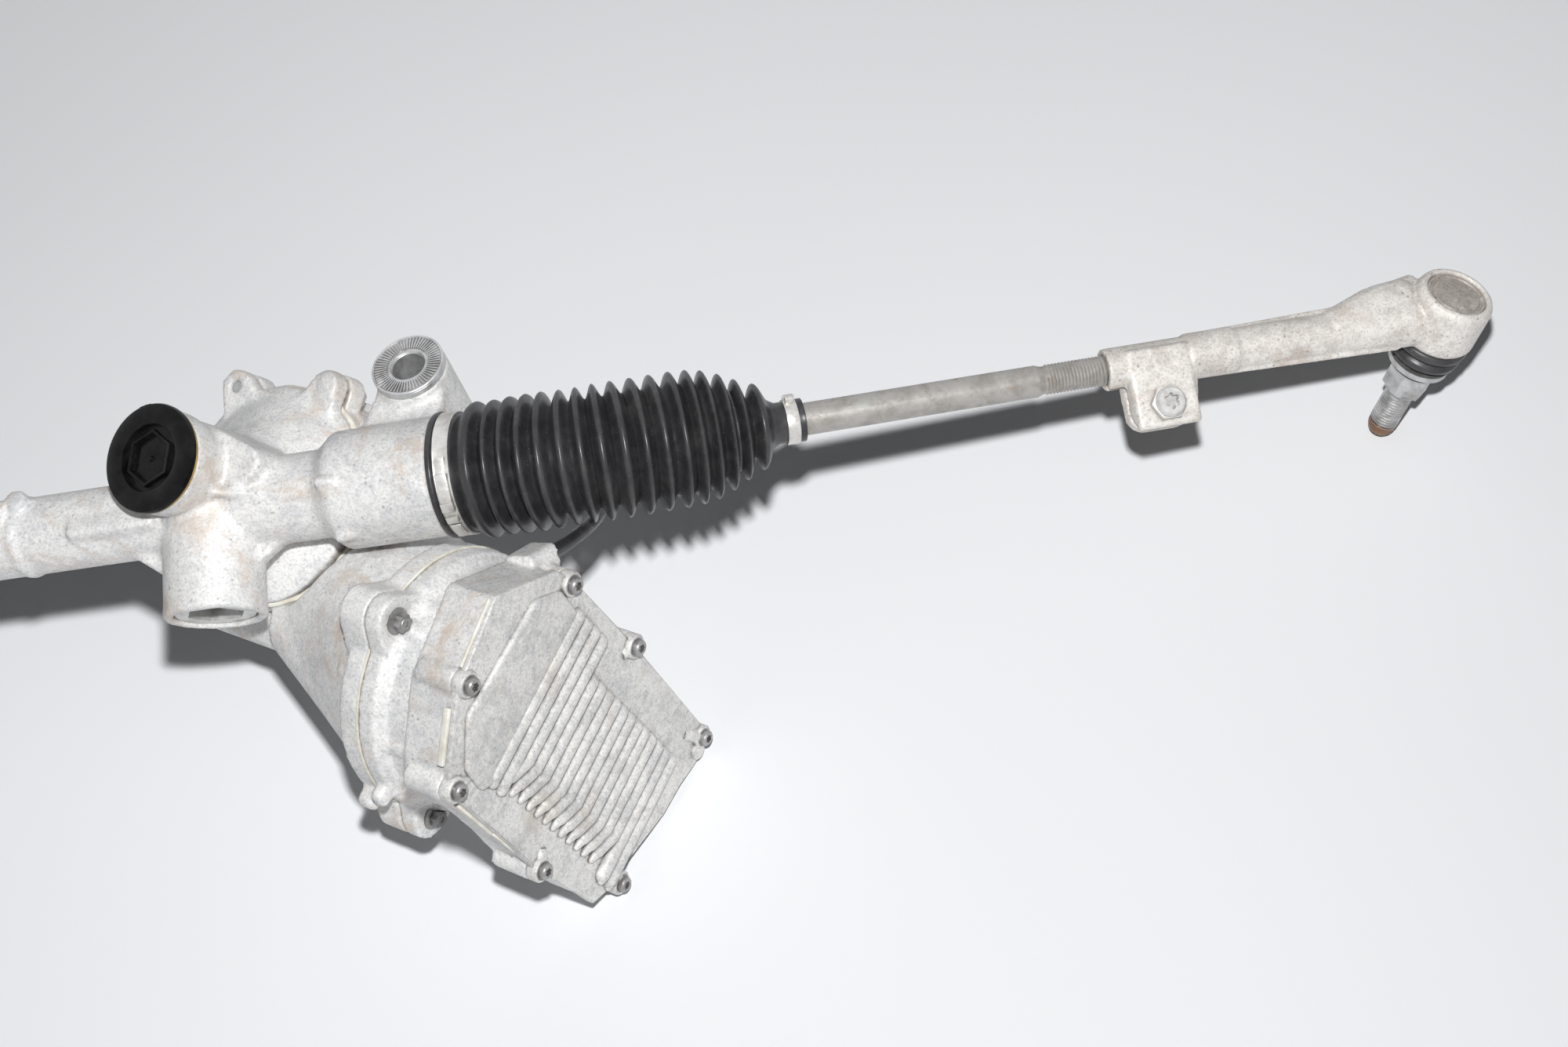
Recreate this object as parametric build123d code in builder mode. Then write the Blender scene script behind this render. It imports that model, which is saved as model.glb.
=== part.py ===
from build123d import *
from math import acos, atan2, cos, degrees, pi, radians, sin, sqrt, tan
import os

os.makedirs("parts", exist_ok=True)

# All sizes in mm. X runs along the rack, Z up the mounting bolts,
# and the origin is the middle of the right-hand mounting bush.

# Layout
RACK_Y = -51.0
CENTRE_X = -210.0
BALL_X = 80.0
HOUSING_END = 24.0
DRIVE_X = -105.0
DRIVE_ROLL = 22.0
DRIVE_LEAN = -15.0
STEER_X = -360.0
STEER_ROLL = 10.0
STEER_LEAN = 10.0
RUN_FIT = 0.05

# Housing tube
TUBE_R = 19.3
WAIST_R = 21.5
BARREL_R = 28.8
BARREL_BACK = 66.0
COLLAR_R = 26.5
COLLAR_LENGTH = 9.0
BORE_R = 15.5
SOCKET_BORE_R = 21.0

# Rack bar and inner sockets
BAR_R = 12.5
BAR_SETBACK = 22.0
SOCKET_R = 18.5
INNER_BALL_R = 13.0
INNER_LINER = 1.45

# Rack and pinion teeth
MODULE = 2.0
TEETH = 9
PINION_OFFSET = 17.0
ADDENDUM = 1.2
DEDENDUM = 2.2
TIP_HEIGHT = 1.9
BACKLASH = 0.15
FACE_HALF = 12.0
TOOTH_SPACES = 27
PRESSURE = radians(20.0)

# Drive pinion shaft, tower and cap
SHAFT_R = 8.0
TOWER_R = 24.0
TOWER_TOP = 31.0
BEARING_R = 15.0
CAP_R = 26.7
CAP_HEIGHT = 12.0
SEAL_T = 2.0
STEER_TOWER_R = 22.0
STEER_TOP = 30.0

# Worm gear
CENTRE_DISTANCE = 60.0
WORM_LEVEL = 82.0
WORM_TURN = -25.0
WORM_STARTS = 2
WHEEL_TEETH = 40
WORM_TIP_R = 12.8
WORM_ROOT_R = 9.8
WHEEL_TIP_R = 49.5
WHEEL_ROOT_R = 46.4
WHEEL_WIDTH = 15.0
WORM_LENGTH = 30.0
WORM_TUBE_R = 17.5
WORM_BORE_R = 13.4

# Gear housing
LID_LEVEL = -47.5
LID_R = 56.0
BOWL_R = 57.0
WHEEL_CHAMBER_R = 51.0
BOWL_DEPTH = 56.0

# Motor
FLANGE_M = 112.0
FLANGE_RIM = 6.0
FLANGE_T = 12.0
MOTOR_R = 60.0
MOTOR_LENGTH = 54.0
MOTOR_WALL = 5.0
ROTOR_R = 32.0
ROTOR_GAP = 0.6
BACK_IRON = 5.0
BOLT_OUTSET = 9.3

# Electronics housing
ECU_TURN = 161.8
FRAME_DEPTH = 25.0
GASKET_T = 1.4
PLATE_T = 3.2
FIN_HEIGHT = 3.8
FIN_PITCH = 8.8
FIN_WIDTH = 4.6
BOARD_T = 1.6

# Yoke
YOKE_R = 24.5
YOKE_LENGTH = 54.3
YOKE_BORE_R = 20.0
PLUG_T = 9.0
PLUG_RECESS = 2.0

# Mounting bushes
BUSH_LENGTH = 50.0
BUSH_R = 12.4
BUSH_BORE_R = 8.3
BUSH_HEAD_R = 18.3
BUSH_HEAD_T = 3.2
BOSS_R = 18.5

# Tie rod and outer joint
TIE_YAW = 13.8
TIE_PITCH = 15.1
NECK_R = 6.5
TIE_ROD_R = 7.9
TIE_THREAD_R = 6.9
TIE_STEP = 228.0
TIE_END = 300.0
SLEEVE_START = 263.0
SLEEVE_R = 10.5
OUTER_BALL = 446.0
STUD_TILT = 101.0
HEAD_R = 20.0
HEAD_HALF = 14.0
OUTER_BALL_R = 10.0
OUTER_LINER = 2.25
STUD_NECK_R = 6.0
CLAMP_AT = 288.5
CLAMP_HALF = 9.0
CLAMP_DROP = 33.0
CLAMP_BOLT_DROP = 22.0
CLAMP_BOLT_R = 4.0

# Bellows
RIB_R = 32.8
RIB_DEPTH = 6.6
RIBS = 17
BELLOWS_WALL = 2.4
TAPER = 2.9
FIRST_RIB = 44.5
LAST_RIB = 90.0
BEND_HALF = 24.0

# Sensor cable
CABLE_R = 3.5
CABLE_PLUG = (-60.0, -44.0, FLANGE_M + MOTOR_LENGTH + 7)
SENSOR_PLUG = (34.0, 10.0, 45.0)
CABLE_CORNERS = [
    (73, -74, -32),
    (80, -46, -48),
    (64, -20, -68),
    (28, -6, -94),
    (-24, 4, -112),
    (-78, 10, -118),
    (-134, 8, -112),
    (-178, -8, -76),
    (-214, -28, -36),
    (-250, -24, -33),
    (-268, -2, -4),
    (-266, -20, 28),
]
CLIPPED_RUN = 8

pitch_r = MODULE * TEETH / 2
worm_pitch_r = (WORM_TIP_R + WORM_ROOT_R) / 2 + 0.1
worm_lead = 2 * pi * (CENTRE_DISTANCE - worm_pitch_r) * WORM_STARTS / WHEEL_TEETH
flange_r = MOTOR_R + FLANGE_RIM
bush_head_level = BUSH_LENGTH / 2 - BUSH_HEAD_T
spring_line = YOKE_LENGTH - PLUG_RECESS - PLUG_T
MIRROR = Plane.YZ.offset(CENTRE_X)
RACK = Plane(origin=(0, RACK_Y, 0), x_dir=(0, 1, 0), z_dir=(1, 0, 0))


def shaft_plane(cross_x, roll, lean):
    """Plane at a pinion: y points away from the rack, normal up the shaft."""
    crossing = Location((cross_x, RACK_Y, 0), (roll, 0, 0))
    return Plane(crossing * Location((0, PINION_OFFSET, 0), (0, lean, 0)))


PINION = shaft_plane(DRIVE_X, DRIVE_ROLL, DRIVE_LEAN)
STEER = shaft_plane(STEER_X, STEER_ROLL, STEER_LEAN)
YOKE = Plane(Location((DRIVE_X, RACK_Y, 0), (DRIVE_ROLL + 90, 0, 0)))
mesh_plane = Plane(PINION.location * Location((0, 0, -WORM_LEVEL), (0, 0, WORM_TURN)))
worm_frame = Plane(mesh_plane.location * Location((0, -CENTRE_DISTANCE, 0)))
WORM = Plane(worm_frame.origin, x_dir=worm_frame.y_dir, z_dir=worm_frame.x_dir)
ECU = Plane(WORM.location * Location((0, 16, 0), (0, 0, ECU_TURN)))

tie_way = Vector(1, 0, 0).rotate(Axis.Y, TIE_PITCH).rotate(Axis.Z, TIE_YAW)
bolt_way = Vector(0.3457, -0.4962, 0.7964)
ball_centre = Vector(BALL_X, RACK_Y, 0)
clamp_way = (bolt_way - tie_way * bolt_way.dot(tie_way)).normalized()
ROD = Plane(ball_centre, x_dir=clamp_way, z_dir=tie_way)
drop_way = ROD.y_dir
head_way = (
    tie_way * -cos(radians(STUD_TILT))
    + (clamp_way * 0.82 - drop_way * 0.572) * sin(radians(STUD_TILT))
).normalized()
HEAD = Plane(ball_centre + tie_way * OUTER_BALL, x_dir=drop_way.cross(head_way), z_dir=head_way)


def beside(plane, x, y, z=0.0):
    """The same plane moved to a local point."""
    spot = plane.from_local_coords(Vector(x, y, z))
    return Plane(spot, x_dir=plane.x_dir, z_dir=plane.z_dir)


def cable_end(plane, spot, corner):
    """Plane across the cable where it enters a plug, facing its first corner."""
    mouth = plane.from_local_coords(Vector(*spot))
    return Plane(mouth, z_dir=Vector(*corner) - mouth)


def rod(plane, start, end, radius, mode=Mode.ADD):
    """Round bar along a plane's normal."""
    with BuildSketch(plane.offset(start)) as disc:
        Circle(radius)
    extrude(disc.sketch, amount=end - start, mode=mode)


def turned(plane, outline, mode=Mode.ADD):
    """Solid of revolution from (radius, height) points about a plane's normal."""
    side = Plane(plane.origin, x_dir=plane.x_dir, z_dir=plane.x_dir.cross(plane.z_dir))
    with BuildSketch(side) as section:
        with BuildLine():
            Polyline(*outline, close=True)
        make_face()
    revolve(section.sketch, axis=Axis(plane.origin, plane.z_dir), mode=mode)


def lug(plane, start, end, spots, mode=Mode.ADD):
    """Rounded plate that wraps round (x, y, radius) spots."""
    with BuildSketch(plane.offset(start)) as plate:
        for x, y, radius in spots:
            with Locations((x, y)):
                Circle(radius)
        make_hull()
    extrude(plate.sketch, amount=end - start, mode=mode)


def holes(plane, start, end, spots, radius):
    """Round holes at (x, y) spots."""
    with BuildSketch(plane.offset(start)) as discs:
        with Locations(*spots):
            Circle(radius)
    extrude(discs.sketch, amount=end - start, mode=Mode.SUBTRACT)


def save(shape, name):
    """Label a finished sub-part and write it out."""
    shape.label = name
    export_step(shape, f"parts/{name}.step")


def save_set(shapes, name):
    """Write several separate bodies of one kind as one node."""
    save(Compound(children=shapes), name)


def save_pair(shape, name):
    """Write a sub-part for the right-hand side and its twin for the left."""
    save(shape, f"{name}_right")
    save(mirror(shape, about=MIRROR), f"{name}_left")


# Castings

LID_BOLTS = [(-17, 60), (40, 47), (-60, -16), (58, -24)]
bolt_circle_r = MOTOR_R + BOLT_OUTSET
FLANGE_BOLTS = [
    (bolt_circle_r * cos(radians(angle)), bolt_circle_r * sin(radians(angle)))
    for angle in (72, 187, -50)
]
SENSOR_SCREWS = [(0, 26.5), (-23, -13.2), (23, -13.2)]
COVER_SCREWS = [(-50, -47), (-52, 25), (-45, 122), (43, 113), (63, 41), (59, -52), (19, -81)]


def make_rack_housing():
    """Tube casting with both mounting bosses and the two pinion towers."""
    barrel_start = HOUSING_END - BARREL_BACK
    barrel_end = HOUSING_END - COLLAR_LENGTH
    with BuildPart() as rack_housing:
        turned(
            RACK,
            [
                (0, CENTRE_X),
                (TUBE_R, CENTRE_X),
                (TUBE_R, DRIVE_X - 45),
                (WAIST_R, DRIVE_X + 30),
                (WAIST_R, barrel_start - 3),
                (BARREL_R, barrel_start + 6),
                (BARREL_R, barrel_end),
                (COLLAR_R, barrel_end),
                (COLLAR_R, HOUSING_END),
                (0, HOUSING_END),
            ],
        )
        rod(Plane.XY, -bush_head_level, bush_head_level, BOSS_R)
        with BuildSketch(Plane.XY) as web:
            with BuildLine():
                Polyline(
                    (-BOSS_R + 1, 0),
                    (-BOSS_R - 6, RACK_Y / 2),
                    (barrel_start + 4, RACK_Y + 8),
                    (barrel_end - 2, RACK_Y + 8),
                    (barrel_end - 1, RACK_Y / 2),
                    (BOSS_R - 1, 0),
                    close=True,
                )
            make_face()
        extrude(web.sketch, amount=16, both=True)
        mirror(about=MIRROR)
        # drive pinion tower, its hood and the lid of the gear chamber
        turned(
            PINION,
            [
                (0, LID_LEVEL),
                (LID_R, LID_LEVEL),
                (LID_R, LID_LEVEL + 5),
                (LID_R - 8, LID_LEVEL + 10),
                (TOWER_R + 8, LID_LEVEL + 22),
                (TOWER_R, LID_LEVEL + 32),
                (TOWER_R, TOWER_TOP),
                (0, TOWER_TOP),
            ],
        )
        lug(PINION, -20, 18, [(0, 0, TOWER_R), (34, -4, 9)])
        lug(PINION, -14, 2, [(0, 0, TOWER_R), (-66, -6, 7)])
        for x, y in LID_BOLTS:
            lug(PINION, LID_LEVEL, LID_LEVEL + 9, [(x, y, 9), (x * 0.7, y * 0.7, 13)])
        # steering pinion tower
        turned(
            STEER,
            [
                (0, -36),
                (STEER_TOWER_R - 4, -36),
                (STEER_TOWER_R, -32),
                (STEER_TOWER_R, STEER_TOP - 8),
                (STEER_TOWER_R + 8, STEER_TOP - 5),
                (STEER_TOWER_R + 8, STEER_TOP),
                (0, STEER_TOP),
            ],
        )
        # yoke housing with its ribs
        turned(
            YOKE,
            [
                (0, 0),
                (YOKE_R, 0),
                (YOKE_R, YOKE_LENGTH - 1.5),
                (YOKE_R - 1.5, YOKE_LENGTH),
                (0, YOKE_LENGTH),
            ],
        )
        rib_side = Plane(YOKE.origin, x_dir=YOKE.x_dir, z_dir=YOKE.y_dir)
        for way in (-1, 1):
            with BuildSketch(rib_side) as rib:
                with BuildLine():
                    Polyline(
                        (way * (YOKE_R - 2), -5),
                        (way * (YOKE_R - 2), -32),
                        (way * (YOKE_R + 4), -28),
                        (way * (YOKE_R + 20), -TUBE_R + 3),
                        (way * (YOKE_R + 20), -5),
                        close=True,
                    )
                make_face()
            extrude(rib.sketch, amount=4, both=True)
        # sensor cable boss and sight boss on the tube
        rod(Plane((CENTRE_X - 3, RACK_Y, 0)), 0, TUBE_R + 6, 7.5)
        # bores
        rod(RACK, 2 * CENTRE_X - HOUSING_END, HOUSING_END, BORE_R, Mode.SUBTRACT)
        rod(RACK, -22, HOUSING_END, SOCKET_BORE_R, Mode.SUBTRACT)
        rod(RACK, 2 * CENTRE_X - HOUSING_END, 2 * CENTRE_X + 22, SOCKET_BORE_R, Mode.SUBTRACT)
        cavity_r = pitch_r + TIP_HEIGHT + 0.6
        rod(PINION, LID_LEVEL, TOWER_TOP, cavity_r, Mode.SUBTRACT)
        rod(PINION, FACE_HALF + 3, TOWER_TOP, BEARING_R, Mode.SUBTRACT)
        rod(STEER, -31, STEER_TOP, 13, Mode.SUBTRACT)
        rod(YOKE, 4, YOKE_LENGTH, YOKE_BORE_R, Mode.SUBTRACT)
        for centre in (0, 2 * CENTRE_X):
            rod(Plane((centre, 0, 0)), -BUSH_LENGTH, BUSH_LENGTH, BUSH_R, Mode.SUBTRACT)
        holes(PINION, LID_LEVEL, LID_LEVEL + 20, LID_BOLTS, 3.2)
        holes(STEER, STEER_TOP - 6, STEER_TOP, SENSOR_SCREWS, 2.1)
    return rack_housing.part


def make_gear_housing():
    """Bowl for the worm wheel, the worm tube and the motor flange."""
    floor = LID_LEVEL - SEAL_T - BOWL_DEPTH
    rim = LID_LEVEL - SEAL_T
    with BuildPart() as gear_housing:
        turned(
            PINION,
            [
                (0, floor),
                (BOWL_R - 9, floor),
                (BOWL_R - 2, floor + 7),
                (BOWL_R, rim),
                (0, rim),
            ],
        )
        rod(WORM, -50, FLANGE_M - FLANGE_T, WORM_TUBE_R)
        with BuildSketch(WORM.offset(16)) as throat:
            with Locations((38, 4)):
                RectangleRounded(112, 52, 22)
        with BuildSketch(WORM.offset(FLANGE_M - FLANGE_T)) as mouth:
            Circle(flange_r - 4)
        loft([throat.sketch.face(), mouth.sketch.face()])
        rod(WORM, FLANGE_M - FLANGE_T, FLANGE_M, flange_r)
        for x, y in FLANGE_BOLTS:
            lug(WORM, FLANGE_M - FLANGE_T - 4, FLANGE_M, [(x, y, 12), (x * 0.6, y * 0.6, 26)])
        for x, y in LID_BOLTS:
            lug(PINION, rim - 12, rim, [(x, y, 9), (x * 0.7, y * 0.7, 13)])
        # room for the lid, its bolt heads and the tube barrel
        lug(PINION, rim, 0, [(0, 0, LID_R + 2)] + [(x, y, 11) for x, y in LID_BOLTS], Mode.SUBTRACT)
        rod(RACK, DRIVE_X, HOUSING_END + 40, BARREL_R + 2, Mode.SUBTRACT)
        holes(PINION, rim - 34, rim - 12, LID_BOLTS, 7.5)
        # chambers
        rod(PINION, floor + 14, rim, WHEEL_CHAMBER_R, Mode.SUBTRACT)
        rod(PINION, floor + 3, rim, BEARING_R, Mode.SUBTRACT)
        rod(WORM, -46, FLANGE_M, WORM_BORE_R, Mode.SUBTRACT)
        rod(WORM, FLANGE_M - 7, FLANGE_M, MOTOR_R - MOTOR_WALL, Mode.SUBTRACT)
        holes(PINION, rim - 30, rim, LID_BOLTS, 3.2)
        holes(WORM, FLANGE_M - 30, FLANGE_M, FLANGE_BOLTS, 3.9)
    return gear_housing.part


def make_motor_housing():
    """Motor bowl with bolt ears and a closed end wall."""
    end = FLANGE_M + MOTOR_LENGTH
    with BuildPart() as motor_housing:
        rod(WORM, FLANGE_M, FLANGE_M + 10, flange_r)
        for x, y in FLANGE_BOLTS:
            lug(WORM, FLANGE_M, FLANGE_M + 10, [(x, y, 12), (x * 0.6, y * 0.6, 26)])
        turned(
            WORM,
            [
                (0, FLANGE_M),
                (MOTOR_R + 1, FLANGE_M),
                (MOTOR_R, end - 12),
                (MOTOR_R - 4, end - 3),
                (MOTOR_R - 9, end),
                (0, end),
            ],
        )
        rod(WORM, FLANGE_M, end - 6, MOTOR_R - MOTOR_WALL, Mode.SUBTRACT)
        rod(WORM, end - 7, end, 11, Mode.SUBTRACT)
        holes(WORM, FLANGE_M, FLANGE_M + 10, FLANGE_BOLTS, 3.9)
    return motor_housing.part


# Electronics

def ecu_outline(grow=0.0):
    """Closed outline shared by the electronics frame, gasket and cover."""
    with BuildSketch(mode=Mode.PRIVATE) as outline:
        with BuildLine():
            Polyline(
                (-50, -60),
                (-52, -47),
                (-53, 25),
                (-50, 122),
                (-38, 131),
                (-28, 129),
                (-18, 124),
                (0, 124),
                (14, 117),
                (30, 113),
                (46, 110),
                (60, 100),
                (62, 62),
                (65, 41),
                (63, 10),
                (62, -52),
                (54, -62),
                (24, -84),
                (-20, -92),
                close=True,
            )
        make_face()
        fillet(outline.vertices(), 2.5)
        if grow:
            offset(amount=grow, kind=Kind.INTERSECTION)
    return outline.sketch


def ecu_prism(start, end, grow=0.0, mode=Mode.ADD):
    """Prism of the shared outline between two heights over the ECU plane."""
    placed = ECU.offset(start).location * ecu_outline(grow)
    extrude(placed, amount=end - start, dir=ECU.z_dir, mode=mode)


def make_ecu_frame():
    """Open tray behind the cover, with screw bosses and board pillars."""
    low = FLANGE_M + MOTOR_LENGTH
    high = low + FRAME_DEPTH
    with BuildPart() as ecu_frame:
        ecu_prism(low, high, -1.5)
        ecu_prism(low + 4, high, -6.0, Mode.SUBTRACT)
        for x, y in COVER_SCREWS:
            lug(ECU, high - 14, high, [(x, y, 6.2), (x * 0.88, y * 0.9, 5)])
        for x, y in ((-28, -40), (36, -40), (-28, 88), (36, 78)):
            rod(beside(ECU, x, y), low + 3, low + 12, 5)
        with BuildSketch(cable_end(ECU, CABLE_PLUG, CABLE_CORNERS[0])) as shell:
            RectangleRounded(15, 17, 3)
        extrude(shell.sketch, amount=-20)
        holes(ECU, high - 14, high, COVER_SCREWS, 2.5)
    return ecu_frame.part


def make_cover_gasket():
    """Sealing cord squeezed between tray and cover."""
    low = FLANGE_M + MOTOR_LENGTH + FRAME_DEPTH
    with BuildPart() as cover_gasket:
        ecu_prism(low, low + GASKET_T, -0.8)
        ecu_prism(low, low + GASKET_T, -5.0, Mode.SUBTRACT)
        holes(ECU, low, low + GASKET_T, COVER_SCREWS, 2.6)
    return cover_gasket.part


def fin_paths():
    """Centre lines of the cooling fins, in the ECU plane."""
    paths = []
    for k in range(16):
        w = -34 + FIN_PITCH * k
        start = -40 if k < 4 else -23
        if k < 2:
            paths.append([(start, w), (44, w), (47, w - 5)])
        elif w < 62:
            bend = 27.5 - 0.6 * k
            reach = 54 - 0.4 * k
            paths.append([(start, w), (bend, w), (bend + 9, w - 6), (reach, w - 6)])
        else:
            paths.append([(start, w), (50 - (w - 62) * 0.35, w)])
    return paths


def make_ecu_cover():
    """Finned cover plate with its screw lugs."""
    low = FLANGE_M + MOTOR_LENGTH + FRAME_DEPTH + GASKET_T
    top = low + PLATE_T
    with BuildPart() as ecu_cover:
        ecu_prism(low, top)
        for x, y in COVER_SCREWS:
            lug(ECU, low, top + 1.2, [(x, y, 6.4), (x * 0.88, y * 0.9, 5)])
        lug(ECU, low, top, [(-36, 128, 6), (-36, 118, 8)])
        with BuildSketch(ECU.offset(top)) as fins:
            for path in fin_paths():
                with BuildLine():
                    spine = Polyline(*path)
                trace(spine, line_width=FIN_WIDTH)
        extrude(fins.sketch, amount=FIN_HEIGHT)
        holes(ECU, low, top + 2, COVER_SCREWS, 2.6)
    return ecu_cover.part


def make_cover_screws():
    """Seven identical cover screws."""
    high = FLANGE_M + MOTOR_LENGTH + FRAME_DEPTH
    seat = high + GASKET_T + PLATE_T + 1.2
    with BuildPart() as cover_screws:
        for x, y in COVER_SCREWS:
            screw_at = beside(ECU, x, y)
            rod(screw_at, high - 13, seat, 2.5)
            turned(
                screw_at,
                [(0, seat), (4.1, seat), (4.1, seat + 2.2), (3.3, seat + 3), (0, seat + 3)],
            )
    return cover_screws.part


def make_circuit_board():
    """Control board on its four pillars."""
    seat = FLANGE_M + MOTOR_LENGTH + 12
    with BuildPart() as circuit_board:
        ecu_prism(seat, seat + BOARD_T, -18)
        with BuildSketch(ECU.offset(seat + BOARD_T)) as chips:
            with Locations((0, -20), (0, 30)):
                Rectangle(30, 24)
            with Locations((-20, 70), (20, 70)):
                Rectangle(16, 16)
        extrude(chips.sketch, amount=3)
    return circuit_board.part


# Gear train

def involute(angle):
    """Involute function of a pressure angle."""
    return tan(angle) - angle


def pinion_profile(plane):
    """Face of the spur pinion, one tooth pointing at the rack."""
    base_r = pitch_r * cos(PRESSURE)
    root_r = pitch_r - DEDENDUM - 0.1
    tip_r = pitch_r + TIP_HEIGHT
    pitch_half = pi / (2 * TEETH) - BACKLASH / pitch_r + involute(PRESSURE)
    radii = [base_r + (tip_r - base_r) * k / 4 for k in range(5)]
    flank = [(r, pitch_half - involute(acos(min(1.0, base_r / r)))) for r in radii]
    tooth = [(root_r - 1, pitch_half)] + flank
    points = [(r * sin(a), -r * cos(a)) for r, a in tooth]
    points += [(-x, y) for x, y in reversed(points)]
    with BuildSketch(plane) as profile:
        Circle(root_r)
        with PolarLocations(0, TEETH):
            with BuildLine():
                Polyline(*points, close=True)
            make_face()
    return profile.sketch


def make_pinion_shaft(plane, low, high):
    """Pinion shaft with its teeth cut round the middle."""
    with BuildPart() as shaft:
        rod(plane, low, -FACE_HALF, SHAFT_R)
        rod(plane, FACE_HALF, high, SHAFT_R)
        extrude(pinion_profile(plane.offset(-FACE_HALF)), amount=2 * FACE_HALF)
    return shaft.part


def cut_rack_teeth(plane):
    """Cut one toothed length into the rack bar in the active builder."""
    pitch = pi * MODULE
    crest = ADDENDUM - pitch_r
    root = -pitch_r - DEDENDUM
    reach = (TOOTH_SPACES + 1) * pitch / 2
    half_root = pitch / 4 - DEDENDUM * tan(PRESSURE)
    half_crest = pitch / 4 + ADDENDUM * tan(PRESSURE)
    outline = [(-reach, crest + 10), (-reach, crest)]
    for k in range(TOOTH_SPACES):
        x = (k - (TOOTH_SPACES - 1) / 2) * pitch
        outline += [(x - half_crest, crest), (x - half_root, root)]
        outline += [(x + half_root, root), (x + half_crest, crest)]
    outline += [(reach, crest), (reach, crest + 10)]
    with BuildSketch(plane.offset(-45)) as spaces:
        with BuildLine():
            Polyline(*outline, close=True)
        make_face()
    extrude(spaces.sketch, amount=90, mode=Mode.SUBTRACT)


def make_rack_bar():
    """Toothed bar that slides through the housing."""
    left = 2 * CENTRE_X - BALL_X + BAR_SETBACK
    right = BALL_X - BAR_SETBACK
    with BuildPart() as rack_bar:
        rod(RACK, left, right, BAR_R)
        cut_rack_teeth(PINION)
        cut_rack_teeth(STEER)
    return rack_bar.part


def make_inner_socket():
    """Ball housing screwed on the end of the rack bar."""
    start = BALL_X - BAR_SETBACK
    cup_r = INNER_BALL_R + INNER_LINER + 2 * RUN_FIT
    lip = sqrt(cup_r**2 - (INNER_BALL_R + 0.2) ** 2)
    with BuildPart() as inner_socket:
        turned(
            RACK,
            [
                (0, start),
                (SOCKET_R - 2, start),
                (SOCKET_R, start + 2),
                (SOCKET_R, BALL_X + 4),
                (SOCKET_R - 2.5, BALL_X + 9),
                (0, BALL_X + 9),
            ],
        )
        with BuildSketch(RACK.offset(start)) as flats:
            Rectangle(2 * SOCKET_R + 4, 2 * SOCKET_R + 4)
            RegularPolygon(SOCKET_R - 1.2, 6, major_radius=False, mode=Mode.SUBTRACT)
        extrude(flats.sketch, amount=8, mode=Mode.SUBTRACT)
        with Locations(ball_centre):
            Sphere(cup_r, mode=Mode.SUBTRACT)
        turned(
            RACK,
            [
                (0, BALL_X + lip),
                (INNER_BALL_R + 0.2, BALL_X + lip),
                (SOCKET_R - 3.5, BALL_X + 9.5),
                (0, BALL_X + 9.5),
            ],
            Mode.SUBTRACT,
        )
    return inner_socket.part


def ball_shell(plane, inner_r, outer_r, mouth_angle):
    """Plastic ball liner, open round the plane's normal."""
    side = Plane(plane.origin, x_dir=plane.x_dir, z_dir=plane.x_dir.cross(plane.z_dir))
    across = sin(mouth_angle)
    up = cos(mouth_angle)
    with BuildPart() as shell:
        with BuildSketch(side) as section:
            with BuildLine():
                ThreePointArc((outer_r * across, outer_r * up), (outer_r, 0), (0, -outer_r))
                Line((0, -outer_r), (0, -inner_r))
                ThreePointArc((0, -inner_r), (inner_r, 0), (inner_r * across, inner_r * up))
                Line((inner_r * across, inner_r * up), (outer_r * across, outer_r * up))
            make_face()
        revolve(section.sketch, axis=Axis(plane.origin, plane.z_dir))
    return shell.part


def make_worm_wheel():
    """Toothed rim on its hub and web."""
    low = -WORM_LEVEL - WHEEL_WIDTH / 2
    high = -WORM_LEVEL + WHEEL_WIDTH / 2
    slant = atan2(worm_lead / (2 * pi), worm_pitch_r)
    with BuildPart() as worm_wheel:
        rod(PINION, low, high, WHEEL_TIP_R)
        for face in (low, high - 4):
            rod(PINION, face, face + 4, WHEEL_ROOT_R - 6, Mode.SUBTRACT)
            rod(PINION, face, face + 4, SHAFT_R + 6)
        rod(PINION, low, high, SHAFT_R, Mode.SUBTRACT)
        reach = WHEEL_TIP_R - WHEEL_ROOT_R
        with BuildPart(mode=Mode.PRIVATE) as space:
            slanted = Plane(
                PINION.from_local_coords(Vector(WHEEL_ROOT_R, 0, -WORM_LEVEL)),
                x_dir=PINION.x_dir,
                z_dir=PINION.z_dir.rotate(Axis((0, 0, 0), PINION.x_dir), -degrees(slant)),
            )
            with BuildSketch(slanted.offset(-WHEEL_WIDTH)) as gap:
                with BuildLine():
                    Polyline((0, -1.2), (0, 1.2), (reach + 1, 2.9), (reach + 1, -2.9), close=True)
                make_face()
            extrude(gap.sketch, amount=2 * WHEEL_WIDTH)
        for k in range(WHEEL_TEETH):
            turn = WORM_TURN - 90 + 360 * k / WHEEL_TEETH
            add(space.part.rotate(Axis(PINION.origin, PINION.z_dir), turn), mode=Mode.SUBTRACT)
    return worm_wheel.part


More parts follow.
